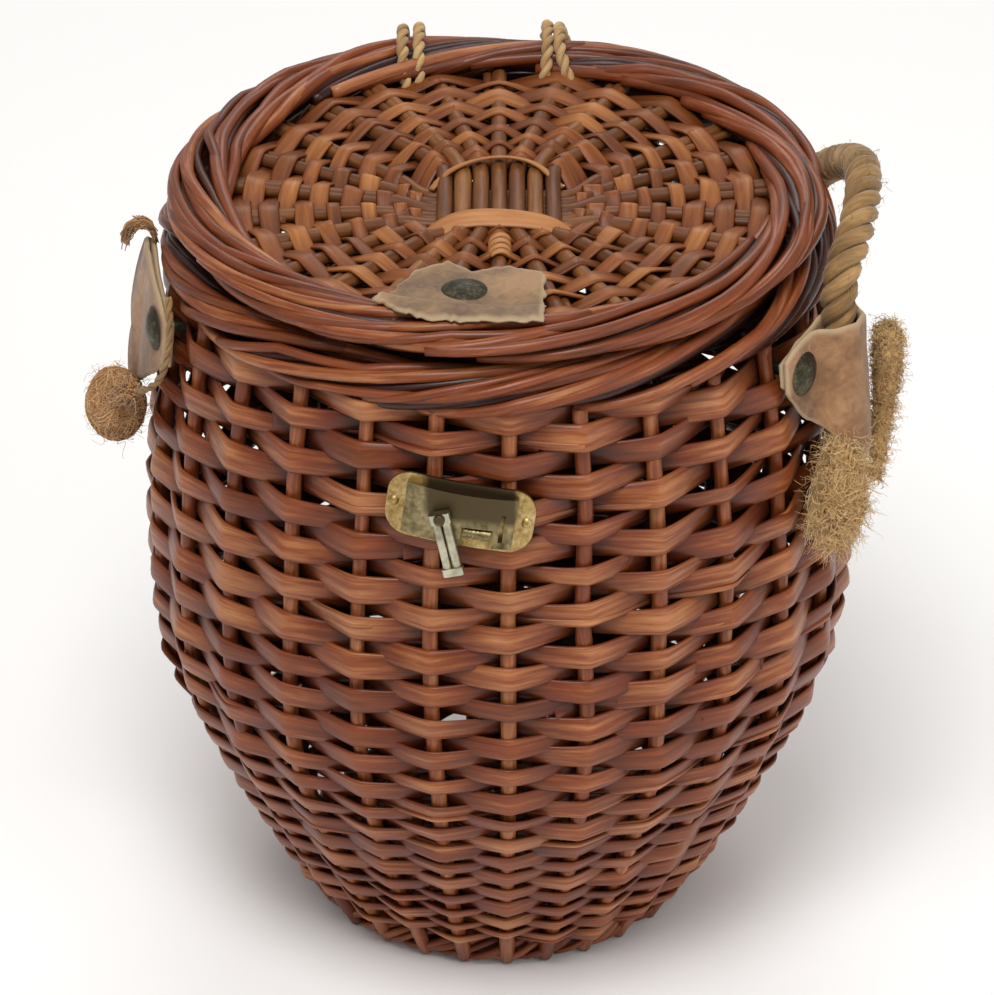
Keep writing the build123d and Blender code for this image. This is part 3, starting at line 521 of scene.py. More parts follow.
wall_heights = np.linspace(0, wall_top, 563)
wall_radii = np.array([wall_radius(z) for z in wall_heights])


def willow_finish(name, dark, middle, pale, roughness, coat):
    """Split or whole willow: long grain, painted shade that darkens the parts lying deeper, and a
    worn glossy skin.
    """
    material, tree, shader = new_finish(name)
    grain = add_node(tree, "Attribute", attribute_name="grain").outputs["Vector"]
    tone = add_node(tree, "Attribute", attribute_name="tone").outputs["Fac"]
    depth = add_node(tree, "Attribute", attribute_name="depth").outputs["Fac"]
    # grain lines about 0.6 mm apart and 25 mm long
    long = add_node(tree, "VectorMath", {0: grain, 1: (40.0, 1600.0, 90.0)}, operation="MULTIPLY")
    noise = {"Scale": 1.0, "Detail": 5.0, "Roughness": 0.6}
    streak = add_node(tree, "TexNoise", {"Vector": long, **noise})
    slow = add_node(tree, "VectorMath", {0: grain, 1: (28.0, 60.0, 60.0)}, operation="MULTIPLY")
    noise = {"Scale": 1.0, "Detail": 3.0, "Roughness": 0.55}
    cloud = add_node(tree, "TexNoise", {"Vector": slow, **noise})
    total = add_node(tree, "Math", {0: streak, 1: 1.25, 2: tone}, operation="MULTIPLY_ADD")
    total = add_node(tree, "Math", {0: cloud, 1: 0.6, 2: total}, operation="MULTIPLY_ADD")
    total = add_node(tree, "Math", {0: total, 1: 0.35}, operation="MULTIPLY")
    colour = add_node(tree, "ValToRGB", {0: total}, [(0.28, dark), (0.5, middle), (0.74, pale)])
    # painted shade: the lower a part's depth, behind stakes or inside a border, the darker its
    # colour
    painted_hollow_shade = [(0.0, "#553a29"), (0.5, "#c3a88f"), (1.0, "#ffffff")]
    shade = add_node(tree, "ValToRGB", {0: depth}, painted_hollow_shade)
    both = {0: 1.0, 6: colour, 7: shade}
    shaded = add_node(tree, "Mix", both, data_type="RGBA", blend_type="MULTIPLY").outputs[2]
    limits = {"To Min": roughness - 0.1, "To Max": roughness + 0.14}
    rough = add_node(tree, "MapRange", {"Value": cloud, **limits})
    bump = add_node(tree, "Bump", {"Height": streak, "Strength": 0.35, "Distance": 0.00025})
    surface = {"Specular IOR Level": 0.28, "Coat Weight": coat, "Coat Roughness": 0.22}
    links = {"Base Color": shaded, "Roughness": rough, "Normal": bump}
    set_inputs(tree, shader, {**links, **surface})
    return material


willow = willow_finish("buff_willow_varnished", "#36170a", "#86431f", "#d39762", 0.42, 0.18)


def stake_azimuth(place):
    """Azimuth of a place counted in stakes; hand work draws them towards front and back."""
    even = 1.8 + place * 360 / stake_count
    return even - 2.2 * np.sin(np.radians(2 * even)) - 90


def on_wall(azimuth, radius, z):
    """Points in metres from azimuths in degrees and radii and heights in millimetres."""
    a = np.radians(azimuth)
    return np.stack([radius * np.cos(a), radius * np.sin(a), z + 0 * a], axis=-1) * MM


def wander(random, count, knots, size):
    """A slow smooth random wander of about a size, at count places."""
    values = random.normal(size=knots) * size
    return np.interp(np.linspace(0, knots - 1, count), np.arange(knots), values)


stake_random = np.random.default_rng(3)
stake_bundle = new_bundle()
steps = 70
for i in range(stake_count):
    z = np.linspace(2.0, 285, steps)
    radius = np.interp(z, wall_heights, wall_radii) - stake_depth
    radius = radius + wander(stake_random, steps, 9, 0.15)
    azimuth = stake_azimuth(i) + wander(stake_random, steps, 8, 0.22)
    thick = (3.05 + stake_random.uniform(-0.25, 0.2)) * (1 - 0.06 * z / wall_top)
    # small swellings where buds grew
    for knot in stake_random.uniform(20, 270, 3):
        thick = thick + 0.28 * np.exp(-(((z - knot) / 2.2) ** 2))
    line = on_wall(azimuth, radius, z)
    out, thick = unit(line * (1, 1, 0)), thick * MM
    tone = 0.5 + stake_random.uniform(-0.14, 0.2)
    lay_strip(stake_bundle, line, out, thick, thick, tone, depth=0.72, sides=12)
stakes = finish_bundle("side_stakes_rods", stake_bundle, willow, "basket")
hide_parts("side_stakes")

# rows start close together at the foot and open out to 9 mm at the shoulder
weave_low, weave_even, weave_high = 15.0, 230.0, 283.0
pitch_low, pitch_high = 4.8, 9.0
pitch_growth = (pitch_high - pitch_low) / (weave_even - weave_low)
rows_growing = log(pitch_high / pitch_low) / pitch_growth
rows = rows_growing + (weave_high - weave_even) / pitch_high


def row_height(row):
    """Height of a place in the spiral of rows."""
    growing = weave_low + pitch_low / pitch_growth * (np.exp(pitch_growth * row) - 1)
    even = weave_even + (row - rows_growing) * pitch_high
    return np.where(row < rows_growing, growing, even)


def row_pitch(z):
    """Distance from one row to the next at a height."""
    return np.clip(pitch_low + (z - weave_low) * pitch_growth, pitch_low, pitch_high)


wall_random = np.random.default_rng(21)
wall_bundle = new_bundle()
samples = 14  # points from one stake to the next


def weave_swing(place, sharpness):
    """1 before a stake, -1 behind the next one; the sharper, the straighter between."""
    return np.arcsin(sharpness * np.cos(pi * place)) / asin(sharpness)


def lay_weaver(start, end, width, tone, lift=0.0, stand_off=0.0):
    """One weaver from one place in the spiral to another, butt first and tapering."""
    count = int((end - start) * samples) + 1
    place = np.linspace(start, end, count)
    z = row_height(place / stake_count) + lift
    pitch = row_pitch(z)
    knots = max(4, int((end - start) / 1.5))
    z = z + wander(wall_random, count, knots, 0.11) * pitch
    swing = weave_swing(place, 0.996)
    radius = np.interp(z, wall_heights, wall_radii) - stake_depth
    radius = radius + weaver_swing * swing + stand_off
    radius = radius + wander(wall_random, count, knots, 0.18)
    azimuth = stake_azimuth(place)
    taper = np.linspace(1.06, 0.86, count)
    wide = width * taper * (1 + wander(wall_random, count, knots, 0.09)) * pitch / pitch_high
    # thinner weavers lie closer together low down
    beaten = np.interp(z, [15, 140, 230], [1.33, 1.16, 1.04])
    wide = wide * (1 + 0.06 * np.abs(swing) ** 3) * beaten
    # the back, which rests against the hip, is beaten down closer
    wide = wide * (1 + 0.15 * np.clip(np.sin(np.radians(azimuth)), 0, 1))
    if stand_off:
        # an offcut thins out at both ends, and they are tucked under
        tucked = np.clip(np.abs(np.linspace(-1, 1, count)) * 4 - 3, 0, 1)
        wide = wide * (1 - 0.75 * tucked)
        radius = radius - 1.6 * tucked
    line = on_wall(azimuth, radius, z)
    roll = np.radians(wander(wall_random, count, knots, 11.0))
    outward = unit(line * (1, 1, 0))
    above, below = (np.interp(z + step, wall_heights, wall_radii) for step in (1, -1))
    lean = (above - below) / 2
    out = unit(outward - UP * lean[:, None])
    out = out * np.cos(roll)[:, None] + UP * np.sin(roll)[:, None]
    thick = (1.0 + 0.1 * (width > 7)) * MM
    # painted shade: a weaver comes out darker where it passes behind a stake
    depth = 0.5 + 0.5 * swing
    lay_strip(wall_bundle, line, out, wide / 2 * MM, thick, tone, depth, sides=10, square=2.5)


place = 0.0
past_stake = 0.42  # how far a weaver's ends reach past their stakes, in stakes
last_place = rows * stake_count
while place < last_place - 1:
    span = 2 * wall_random.integers(7, 20)
    end = min(place + span, last_place)
    if last_place - end < 6:
        end = last_place
    width, tone = wall_random.uniform(9.7, 11.6), wall_random.uniform(0.34, 0.68)
    lay_weaver(place + 1 - past_stake, end + 1 + past_stake, width, tone)
    place = end
# thin offcuts run in beside some weavers
offcut_count = 46
for _ in range(offcut_count):
    start = 2 * wall_random.integers(8, int(last_place / 2) - 4) + 0.6
    span = 2 * wall_random.integers(1, 4) - 0.2
    width, tone = wall_random.uniform(2.2, 3.4), wall_random.uniform(0.4, 0.75)
    lift = wall_random.choice([-1, 1]) * 2.6
    lay_weaver(start, start + span, width, tone, lift=lift, stand_off=0.7)
wall = finish_bundle("woven_wall", wall_bundle, willow, "basket")
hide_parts("wall_weave")

# ---- foot and base ------------------------------------------------------------
# The base is a mat of flat skeins woven on two crossed sets of sticks, and the foot is a
# tight ring of twined rods round it that the whole creel stands on.

foot_random = np.random.default_rng(8)


def wound_ring(bundle, random, count, span, centre, half, first, last, rod, depth, loose):
    """Rods laid round a ring, each rolling from one side of its section to another.

    Each reaches span degrees round. The section has its centre at a radius and a height and
    half a width and a height; first and last are degrees round it, from outward, up over
    the top. rod is a rod's radius, depth how far out it lies and loose how unevenly."""
    for i in range(count):
        n = 46
        u = np.linspace(0, 1, n)
        length = span * random.uniform(1 - 0.4 * loose, 1 + 0.25 * loose)
        start = i * 360 / count + random.uniform(-0.25, 0.25) * 360 / count
        azimuth = start - length * u
        begin = first + random.uniform(-1, 1) * loose * 20
        finish = last + random.uniform(-1, 1) * loose * 48
        phi = np.radians(begin + (finish - begin) * u + wander(random, n, 6, 3.0 + loose * 6))
        thick = rod * random.uniform(0.8, 1.14)
        fat = thick * np.linspace(1.08, 0.86, n)
        swell = random.uniform(-0.4, 0.2) + wander(random, n, 7, 0.25 + 0.55 * loose)
        r = centre[0] + (half[0] - thick + swell) * np.cos(phi)
        z = centre[1] + (half[1] - thick + swell) * np.sin(phi)
        line = on_wall(azimuth, r, z)
        out = unit(line - on_wall(azimuth, *centre))
        tone = random.uniform(0.16, 0.62)
        lay_strip(bundle, line, out, fat * MM, fat * 0.94 * MM, tone, depth, sides=10)


def ring_of_rods(name, node, body, random, layers):
    """A ring of rods in two layers: those that show, and ones that fill its middle, whose low depth
    paints shade on them.
    """
    bundle = new_bundle()
    for layer in layers:
        wound_ring(bundle, random, *layer)
    piece = finish_bundle(name, bundle, willow, body)
    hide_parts(node)


# the second layer's low depth paints it darker, as shade between the rods that show
foot_layers = (
    # rods, span, centre, half size, first, last, rod, depth, loose
    (54, 36, (73.2, 7.4), (7.6, 6.6), 190, -80, 1.9, 0.7, 0.3),
    (30, 40, (71.5, 6.2), (5.0, 4.6), 180, -120, 2.2, 0.3, 0.3),
)
ring_of_rods("foot_ring_rods", "foot_ring", "basket", foot_random, foot_layers)


def fan_lines(count, pitch, step, reach, bend_at, hub_z, rim_z, along_y, hub_y):
    """Middle lines, in millimetres, of sticks that lie side by side at a hub and fan out.

    pitch is from stick to stick at the hub, step the degrees between them at their reach."""
    lines = []
    for i in range(count):
        place = i - (count - 1) / 2  # counted from the middle stick
        angle = radians(place * step)
        far = np.array([reach * sin(angle), reach * cos(angle)])
        near = np.array([place * pitch, bend_at])
        half = [
            (far, rim_z),
            ((far + near) / 2, (rim_z * 2 + hub_z) / 3),
            (near + (far - near) * 0.12, (rim_z * 0.4 + hub_z * 1.6) / 2),
            (near, hub_z),
            (near * (1, 0.72), hub_z),
        ]
        line = [(x, -y, z) for (x, y), z in half] + [(x, y, z) for (x, y), z in half[::-1]]
        if not along_y:
            line = [(y, x, z) for x, y, z in line]
        line = np.array(line)
        line[line[:, 2] == hub_z, 1] += hub_y
        lines.append(line)
    return lines


def lay_sticks(name, node, body, random, lines, radius, depth, tone):
    """A piece of whole rods along their middle lines."""
    bundle = new_bundle()
    for line in lines:
        path, _ = evenly(round_corners(line) * MM, 3 * MM)
        thick = radius * random.uniform(0.92, 1.08)
        wide, high = (thick + wander(random, len(path), 10, 0.12) for _ in range(2))
        shade = tone + random.uniform(-0.16, 0.16)
        lay_strip(bundle, path, UP, wide * MM, high * MM, shade, depth, sides=12)
    piece = finish_bundle(name, bundle, weathered, body)
    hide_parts(node)


def crossing(line, ring_radius):
    """Where each half of a stick crosses a ring, whose radius depends on the azimuth."""
    fine, _ = evenly(np.array(line), 0.5)
    azimuth = np.degrees(np.arctan2(fine[:, 1], fine[:, 0]))
    outside = np.hypot(fine[:, 0], fine[:, 1]) > ring_radius(azimuth)
    return [fine[i] for i in np.flatnonzero(outside[1:] != outside[:-1])]


def lay_rows(bundle, random, lines, rings, lift, width, half_thick, tones):
    """Flat skeins woven in rounds over and under sticks, each round opposite the last.

    lift is how far a skein swings up and down, and width(number) how wide a round's is."""
    for number, ring_radius in enumerate(rings):
        marks = [mark for line in lines for mark in crossing(line, ring_radius)]
        marks.sort(key=lambda mark: np.arctan2(mark[1], mark[0]))
        first = random.integers(0, len(marks))
        marks = np.roll(np.array(marks), -first, axis=0)
        loop = np.vstack([marks, marks[:2]])
        steps = 9  # points from one stick to the next
        n = (len(loop) - 1) * steps + 1
        place = np.linspace(0, len(loop) - 1, n)
        bearings = np.unwrap(np.arctan2(loop[:, 1], loop[:, 0]))
        radii = np.hypot(loop[:, 0], loop[:, 1])
        bend, reach, middle = (
            np.interp(place, np.arange(len(loop)), values)
            for values in (bearings, radii, loop[:, 2])
        )
        reach = reach + wander(random, n, len(loop), 0.7)
        swing = weave_swing(place, 0.97) * (1 if (first + number) % 2 else -1)
        z = middle + lift * swing
        line = np.stack([reach * np.cos(bend), reach * np.sin(bend), z], axis=1) * MM
        wide = width(number) * (1 + wander(random, n, 16, 0.14))
        roll = wander(random, n, len(loop), 0.17)
        out = np.stack([np.cos(bend) * roll, np.sin(bend) * roll, np.ones(n)], axis=1)
        # painted shade: a skein comes out darker where it dips under a stick
        tone, depth = random.uniform(*tones), 0.45 + 0.55 * (swing + 1) / 2
        shape = {"half_wide": wide / 2 * MM, "half_thick": half_thick * MM, "square": 3.0}
        lay_strip(bundle, line, unit(out), tone=tone, depth=depth, sides=10, **shape)


weathered = willow_finish("weathered_willow_rod", "#2c1608", "#70421e", "#a8743e", 0.5, 0.06)
fan = {"reach": 66.0, "step": 360 / 14, "pitch": 5.8, "hub_y": 0.0}
base_lines = fan_lines(4, bend_at=17.0, hub_z=8.4, rim_z=6.6, along_y=True, **fan)
base_cross_lines = fan_lines(3, bend_at=23.0, hub_z=3.6, rim_z=5.4, along_y=False, **fan)
for name, node, lines in (
    ("base_long_rods", "base_long_sticks", base_lines),
    ("base_cross_rods", "base_cross_sticks", base_cross_lines),
):
    lay_sticks(name, node, "basket", foot_random, lines, radius=2.4, depth=0.8, tone=0.5)
base_bundle = new_bundle()
base_rings = [lambda a, r=r: r + 0 * a for r in np.linspace(22.5, 65, 11)]
skeins = {"lift": 2.9, "width": lambda number: 4.2, "half_thick": 0.8, "tones": (0.3, 0.7)}
lay_rows(base_bundle, foot_random, base_lines + base_cross_lines, base_rings, **skeins)
base_mat = finish_bundle("base_woven_mat", base_bundle, willow, "basket")
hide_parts("base_weave")

# ---- borders --------------------------------------------------------------------
# The ends of the stakes are laid down one behind another round the top of the body, and
# more rods are rolled the same way round the lid. Each comes up inside, crosses the top
# as it goes round to the left, and ends in a pale cut on the outside.

border_random = np.random.default_rng(14)
# the second layer's low depth paints it darker, as shade between the rods that show
body_layers = (
    # rods, span, centre, half size, first, last, rod, depth, loose
    (33, 100, (119.7, 291.6), (11.0, 11.0), 205, -62, 2.45, 0.86, 1.0),
    (36, 90, (119.5, 290.6), (8.6, 8.6), 200, -110, 2.8, 0.08, 0.6),
)
ring_of_rods("body_border_rods", "body_border", "basket", border_random, body_layers)
# the second layer's low depth paints it darker, as shade between the rods that show
lid_layers = (
    (30, 104, (114.2, 310.6), (12.3, 7.4), 192, -48, 2.4, 0.84, 1.0),
    (32, 92, (113.8, 309.9), (9.8, 5.4), 190, -120, 2.5, 0.08, 0.6),
)
ring_of_rods("lid_border_rods", "lid_border", "lid", border_random, lid_layers)

# ---- lid's sticks and field -------------------------------------------------------
# Seven rods run from front to back and six cross below them; beyond the hub they fan out
# to the border. Flat split skeins are woven over and under them in rounds, and thin bye
# sticks lie beside the rods near the border.

lid_random = np.random.default_rng(33)
hub_half_width, hub_half_depth = 29.0, 25.0
fan = {"reach": 106.0, "step": 360 / 26, "hub_y": -6.0}
upper = {"pitch": 6.9, "bend_at": 25.0, "hub_z": 307.6, "rim_z": 305.8, "along_y": True}
lower = {"pitch": 5.6, "bend_at": 29.0, "hub_z": 302.6, "rim_z": 305.2, "along_y": False}
long_lines = fan_lines(7, **fan, **upper)
cross_lines = fan_lines(6, **fan, **lower)
for name, node, lines, radius, depth, tone in (
    ("lid_long_rods", "lid_long_sticks", long_lines, 3.1, 0.85, 0.55),
    ("lid_cross_rods", "lid_cross_sticks", cross_lines, 2.9, 0.8, 0.5),
):
    lay_sticks(name, node, "lid", lid_random, lines, radius, depth, tone)
stick_bundle = new_bundle()
for line in long_lines + cross_lines:
    for end in (line[:2], line[::-1][:2]):
        side = lid_random.choice([-1, 1])
        outer = np.array(end[0])
        inner = outer + (np.array(end[1]) - outer) * 0.62
        across = unit(np.cross(outer - inner, UP)) * side
        path = np.linspace(inner + across * 4.3, outer + across * 4.6, 14) * MM
        tone = lid_random.uniform(0.4, 0.7)
        lay_strip(stick_bundle, path, UP, 1.8 * MM, 1.7 * MM, tone, depth=0.7)
bye_sticks = finish_bundle("lid_bye_rods", stick_bundle, weathered, "lid")
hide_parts("lid_bye_sticks")

skein = willow_finish("split_willow_skein", "#341908", "#874c21", "#c08546", 0.48, 0.07)
field_radius = 103.5
row_count = 12


def field_ring(number):
    """The line of one round of the field, from the hub's oval out to the border's circle."""
    share = (number + 0.35) / row_count
    corner = 3.2  # above 2 the oval is boxier

    def radius(azimuth):
        a = np.radians(azimuth)
        x = np.abs(np.cos(a) / hub_half_width)
        y = np.abs(np.sin(a) / hub_half_depth)
        oval = (x**corner + y**corner) ** (-1 / corner)
        return oval + (field_radius - oval) * share

    return radius


def field_width(number):
    """Width of a round's skein, wider towards the border."""
    return 5.6 + 2.4 * number / row_count + lid_random.uniform(-0.4, 0.7)


field_bundle = new_bundle()
field_rings = [field_ring(number) for number in range(row_count)]
skeins = {"lift": 3.3, "width": field_width, "half_thick": 0.75, "tones": (0.3, 0.75)}
lay_rows(field_bundle, lid_random, long_lines + cross_lines, field_rings, **skeins)
field = finish_bundle("lid_field_skeins", field_bundle, skein, "lid")
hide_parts("lid_weave")

# ---- hub bindings ---------------------------------------------------------------
# Two skeins hold the long rods down: a wide pale one over their front ends and a thin one
# bowed round their back ends.

binding = willow_finish("pale_willow_binding", "#6b3d1e", "#a56c3c", "#cb9862", 0.45, 0.08)
front_band = [(-31, -37, 304.5), (-24, -31, 309.5), (-14, -25.5, 312.2)]
front_band += [(4, -26.5, 312.9), (20, -28.5, 311.4), (27, -29.5, 306)]
back_band = [(-26, 7, 306.5), (-20, 14, 311), (-8, 22, 312.2)]
back_band += [(5, 23.5, 312.4), (16, 18, 311.6), (24, 9, 306.5)]
for name, node, corners, half_wide, out in (
    ("hub_binding_front", "hub_band_front", front_band, 4.1, (0, -0.55, 1.0)),
    ("hub_binding_back", "hub_band_back", back_band, 2.5, (0, 0.5, 1.0)),
):
    bundle = new_bundle()
    path, _ = evenly(round_corners(corners) * MM, 1.5 * MM)
    wide = half_wide * MM * (0.72 + 0.28 * np.sin(np.linspace(0.1, pi - 0.1, len(path))))
    lay_strip(bundle, path, out, wide, 0.65 * MM, tone=0.62, sides=12, square=3.2)
    band = finish_bundle(name, bundle, binding, "lid")
    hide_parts(node)
# a skein wound round the end of one rod in front of the hub
bundle = new_bundle()
turns = np.linspace(0, 2 * pi * 3.4, 90)
rod_radius, coil_step = 3.9, 4.2
x, z = 0.3 + rod_radius * np.cos(turns), 307.3 + rod_radius * np.sin(turns)
path = np.stack([x, -36.0 - turns / (2 * pi) * coil_step, z], axis=1) * MM
outward = np.stack([np.cos(turns), 0 * turns, np.sin(turns)], axis=1)
lay_strip(bundle, path, outward, 1.7 * MM, 0.6 * MM, tone=0.7, square=3.0)
finish_bundle("hub_wound_skein", bundle, binding, "lid")

# ---- hinge loops ----------------------------------------------------------------
# Four closed loops of two-ply twisted seagrass tie the lid's border to the body's at the
# back. On the real creel they give as the lid opens; here each is shaped bent from the basket up to
# the lid and rides on neither body.

seagrass = fibre_finish("seagrass_two_ply", "#5d4426", "#a37f4e", "#d6b67f", 0.8)
loop_random = np.random.default_rng(17)
loop_places = ((-36.9, -38.5), (-31.5, -32.0), (17.9, 19.5), (29.6, 24.0))
for number, (x, top_x) in enumerate(loop_places, start=1):
    between = (x + top_x) / 2
    corners = [(x, 98.6, 304), (x, 98, 296), (x, 104.5, 285), (x, 112, 277), (x, 122, 275.8)]
    corners += [(x, 131, 281), (x, 133.2, 295), (between, 131.5, 309), (top_x, 126, 318.8)]
    corners += [(top_x, 117, 320.8), (top_x, 106, 318), (between, 99.8, 311)]
    sag = sqrt(1 - (x / 140) ** 2)
    corners = [(cx, cy * sag + 0.4, cz) for cx, cy, cz in corners]
    # two corners more close the loop, and the doubled ends are cut off
    path, along = evenly(round_corners(corners + corners[:2], 4)[6:-6] * MM, 0.8 * MM)
    bundle = new_bundle()
    shape = {"lay": 11.5 * MM, "offset": 1.2 * MM, "wide": 1.42 * MM, "thick": 1.3 * MM}
    tones = [loop_random.uniform(0.45, 0.7) for _ in range(2)]
    ridges = (5, 0.12, 700.0)
    lay_plies(bundle, path, along, **shape, tones=tones, sides=14, ridges=ridges, start=number)
    loop = finish_bundle(f"hinge_cord_{number}", bundle, seagrass, None)
    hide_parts(f"hinge_loop_{number}")
    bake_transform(loop)

# ---- leather --------------------------------------------------------------------
# Tanned strap leather 2.2 mm thick, worn and wrinkled, its edges torn pale. A remnant of
# the closing strap is riveted to the lid, and a tab is folded round each end of the rope.


def leather_finish(name, dark, middle, pale):
    """Worn vegetable-tanned leather: pores, fine creases, scuffs and pale torn edges."""
    material, tree, shader = new_finish(name)
    place = add_node(tree, "TexCoord").outputs["Object"]
    edge = add_node(tree, "Attribute", attribute_name="depth").outputs["Fac"]
    # pores about 0.8 mm across
    pores = add_node(tree, "TexVoronoi", {"Vector": place, "Scale": 1250.0})
    noise = {"Scale": 210.0, "Detail": 6.0, "Distortion": 1.2}
    crease = add_node(tree, "TexNoise", {"Vector": place, **noise})
    cloud = add_node(tree, "TexNoise", {"Vector": place, "Scale": 45.0, "Detail": 4.0})
    total = add_node(tree, "Math", {0: crease, 1: 0.45, 2: cloud}, operation="MULTIPLY_ADD")
    total = add_node(tree, "Math", {0: total, 1: 0.69}, operation="MULTIPLY")
    colour = add_node(tree, "ValToRGB", {0: total}, [(0.36, dark), (0.5, middle), (0.64, pale)])
    both = {0: edge, 6: colour, 7: linear("#b39c78")}
    torn = add_node(tree, "Mix", both, data_type="RGBA").outputs[2]
    height = add_node(tree, "Math", {0: pores, 1: 0.35, 2: crease}, operation="MULTIPLY_ADD")
    bump = add_node(tree, "Bump", {"Height": height, "Strength": 0.55, "Distance": 0.0004})
    surface = {"Roughness": 0.72, "Sheen Weight": 0.15}
    set_inputs(tree, shader, {"Base Color": torn, "Normal": bump, **surface})
    return material


def leather_piece(name, material, body, edges, place, thickness, random, tear):
    """A piece of leather between a lower and an upper edge, set out by place(u, v).

    The edges are lists of (u, v); tear is how far their line wanders, in millimetres."""
    nu, nv = 90, 44
    share = np.linspace(0, 1, nu)

    def along_edge(edge):
        edge = np.array(edge, dtype=float)
        steps = distances(edge)
        s = share * steps[-1]
        return np.stack([np.interp(s, steps, edge[:, i]) for i in (0, 1)], axis=1)

    low, high = (
        along_edge(edge)
        + np.stack([wander(random, nu, 26, tear), wander(random, nu, 34, tear)], axis=1)
        for edge in edges
    )
    mix = np.linspace(0, 1, nv)[None, :, None]
    flat = low[:, None, :] * (1 - mix) + high[:, None, :] * mix
    if tear:
        flat[0, :, 0] += wander(random, nv, 16, tear)
        flat[-1, :, 0] += wander(random, nv, 16, tear)
    u, v = flat[:, :, 0], flat[:, :, 1]
    surface = place(u, v)
    du = np.gradient(surface, axis=0)
    dv = np.gradient(surface, axis=1)
    normal = unit(np.cross(du, dv))
    from_ends = np.minimum(np.arange(nu), np.arange(nu)[::-1])[:, None]
    from_sides = np.minimum(np.arange(nv), np.arange(nv)[::-1])
    rim = np.minimum(from_ends / 2.0, from_sides / 1.6)
    full = np.sqrt(np.clip(1 - (1 - np.clip(rim, 0, 1)) ** 2, 0, 1)) * 0.8 + 0.2
    half = thickness / 2 * full[:, :, None] * MM
    top, bottom = surface + normal * half, surface - normal * half
    vertices = np.vstack([top.reshape(-1, 3), bottom.reshape(-1, 3)])
    index = np.arange(nu * nv).reshape(nu, nv)
    quad = np.stack([index[:-1, :-1], index[1:, :-1], index[1:, 1:], index[:-1, 1:]], axis=-1)
    quad = quad.reshape(-1, 4)
    under = quad[:, ::-1] + nu * nv
    loop = np.r_[index[:, 0], index[-1, 1:], index[::-1, -1][1:], index[0, ::-1][1:-1]]
    after = np.roll(loop, -1)
    wall_faces = np.stack([loop, loop + nu * nv, after + nu * nv, after], axis=1)
    faces = np.vstack([quad, under, wall_faces])
    mesh = bpy.data.meshes.new(name)
    mesh.from_pydata(vertices.tolist(), [], faces.tolist())
    paleness = np.clip(1 - rim / 1.6, 0, 1).ravel() * 0.85
    field = mesh.attributes.new("depth", "FLOAT", "POINT")
    field.data.foreach_set("value", np.r_[paleness, paleness])
    return new_piece(name, mesh, material, body)


leather_random = np.random.default_rng(41)
strap_leather = leather_finish("worn_strap_leather", "#5b422b", "#7b5e3f", "#977450")
tab_leather = leather_finish("worn_tab_leather", "#654224", "#89613d", "#a87f58")


def strap_place(u, v):
    """The strap's remnant lies on the field and climbs on to the lid's border."""
    reach = np.hypot(u, v)
    climb = np.clip((reach - 96) / 11, 0, 1)
    z = 312.9 + 5.9 * climb**2 * (3 - 2 * climb)
    z = z + 0.5 * np.sin(u / 9 + 1) * np.sin(v / 7) + 1.2 * np.clip((u + 38) / -8, 0, 1)
    return np.stack([u, v, z], axis=-1) * MM


strap_edges = (
    [(-45, -101), (-34, -110), (-26, -113), (-18, -115.5), (0, -116), (15.5, -115.8)],
    [(-43, -95), (-38, -80), (-31, -67), (-20, -61), (-10, -69), (4, -65), (18.5, -71.5)],
)
strap_look = {"thickness": 2.3, "random": leather_random, "tear": 0.7}
strap = leather_piece(
    "strap_remnant_leather", strap_leather, "lid", strap_edges, strap_place, **strap_look
)
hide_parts("strap_remnant")

tab_foot = 233.0  # height at which a tab lies against the wall
leaf_inner = wall_radius(tab_foot) + 1.0
leaf_slope = (leaf_inner - 1.0 - 130.5) / 56.0
leather_thick = 2.2


def tab_place(held_azimuth, forward, fold, tip_angle, slope=leaf_slope):
    """A strip folded round what it holds, for leather_piece.

    u runs from 0 at the back leaf's tip round to 1 at the front leaf's, v is the height.
    fold is the radius of what it holds, and slope how far it leans inward as it rises."""
    back = leaf_inner + leather_thick / 2
    front = back + leather_thick + 0.15
    out = back + 2 * fold
    half = degrees(fold / (back + fold))
    corners = [(tip_angle, back), (tip_angle / 2, back), (0.2, back)]
    corners += [(-half * 1.25, back + fold * 0.35), (-half * 1.1, back + fold * 1.6)]
    corners += [(0.0, out + 0.8), (half * 1.15, back + fold * 1.5), (half * 1.6, front + 0.8)]
    corners += [(half * 2.3, front), ((half * 2 + tip_angle) / 2, front), (tip_angle, front)]
    path = round_corners([(a, r, 0) for a, r in corners], 3)
    bearing = np.radians(held_azimuth + forward * path[:, 0])
    bent = np.stack([path[:, 1] * np.cos(bearing), path[:, 1] * np.sin(bearing)], axis=1)
    steps = distances(bent)

    def place(u, v):
        s = np.clip(u, 0, 1) * steps[-1]
        x = np.interp(s, steps, bent[:, 0])
        y = np.interp(s, steps, bent[:, 1])
        r = np.hypot(x, y)
        shrink = (r - slope * (v - tab_foot)) / r
        wrinkle = 0.35 * np.sin(v / 3.1 + 9 * u) * np.sin(u * 55 + v / 8)
        return np.stack([x * shrink, y * shrink, v + wrinkle], axis=-1) * MM

    return place


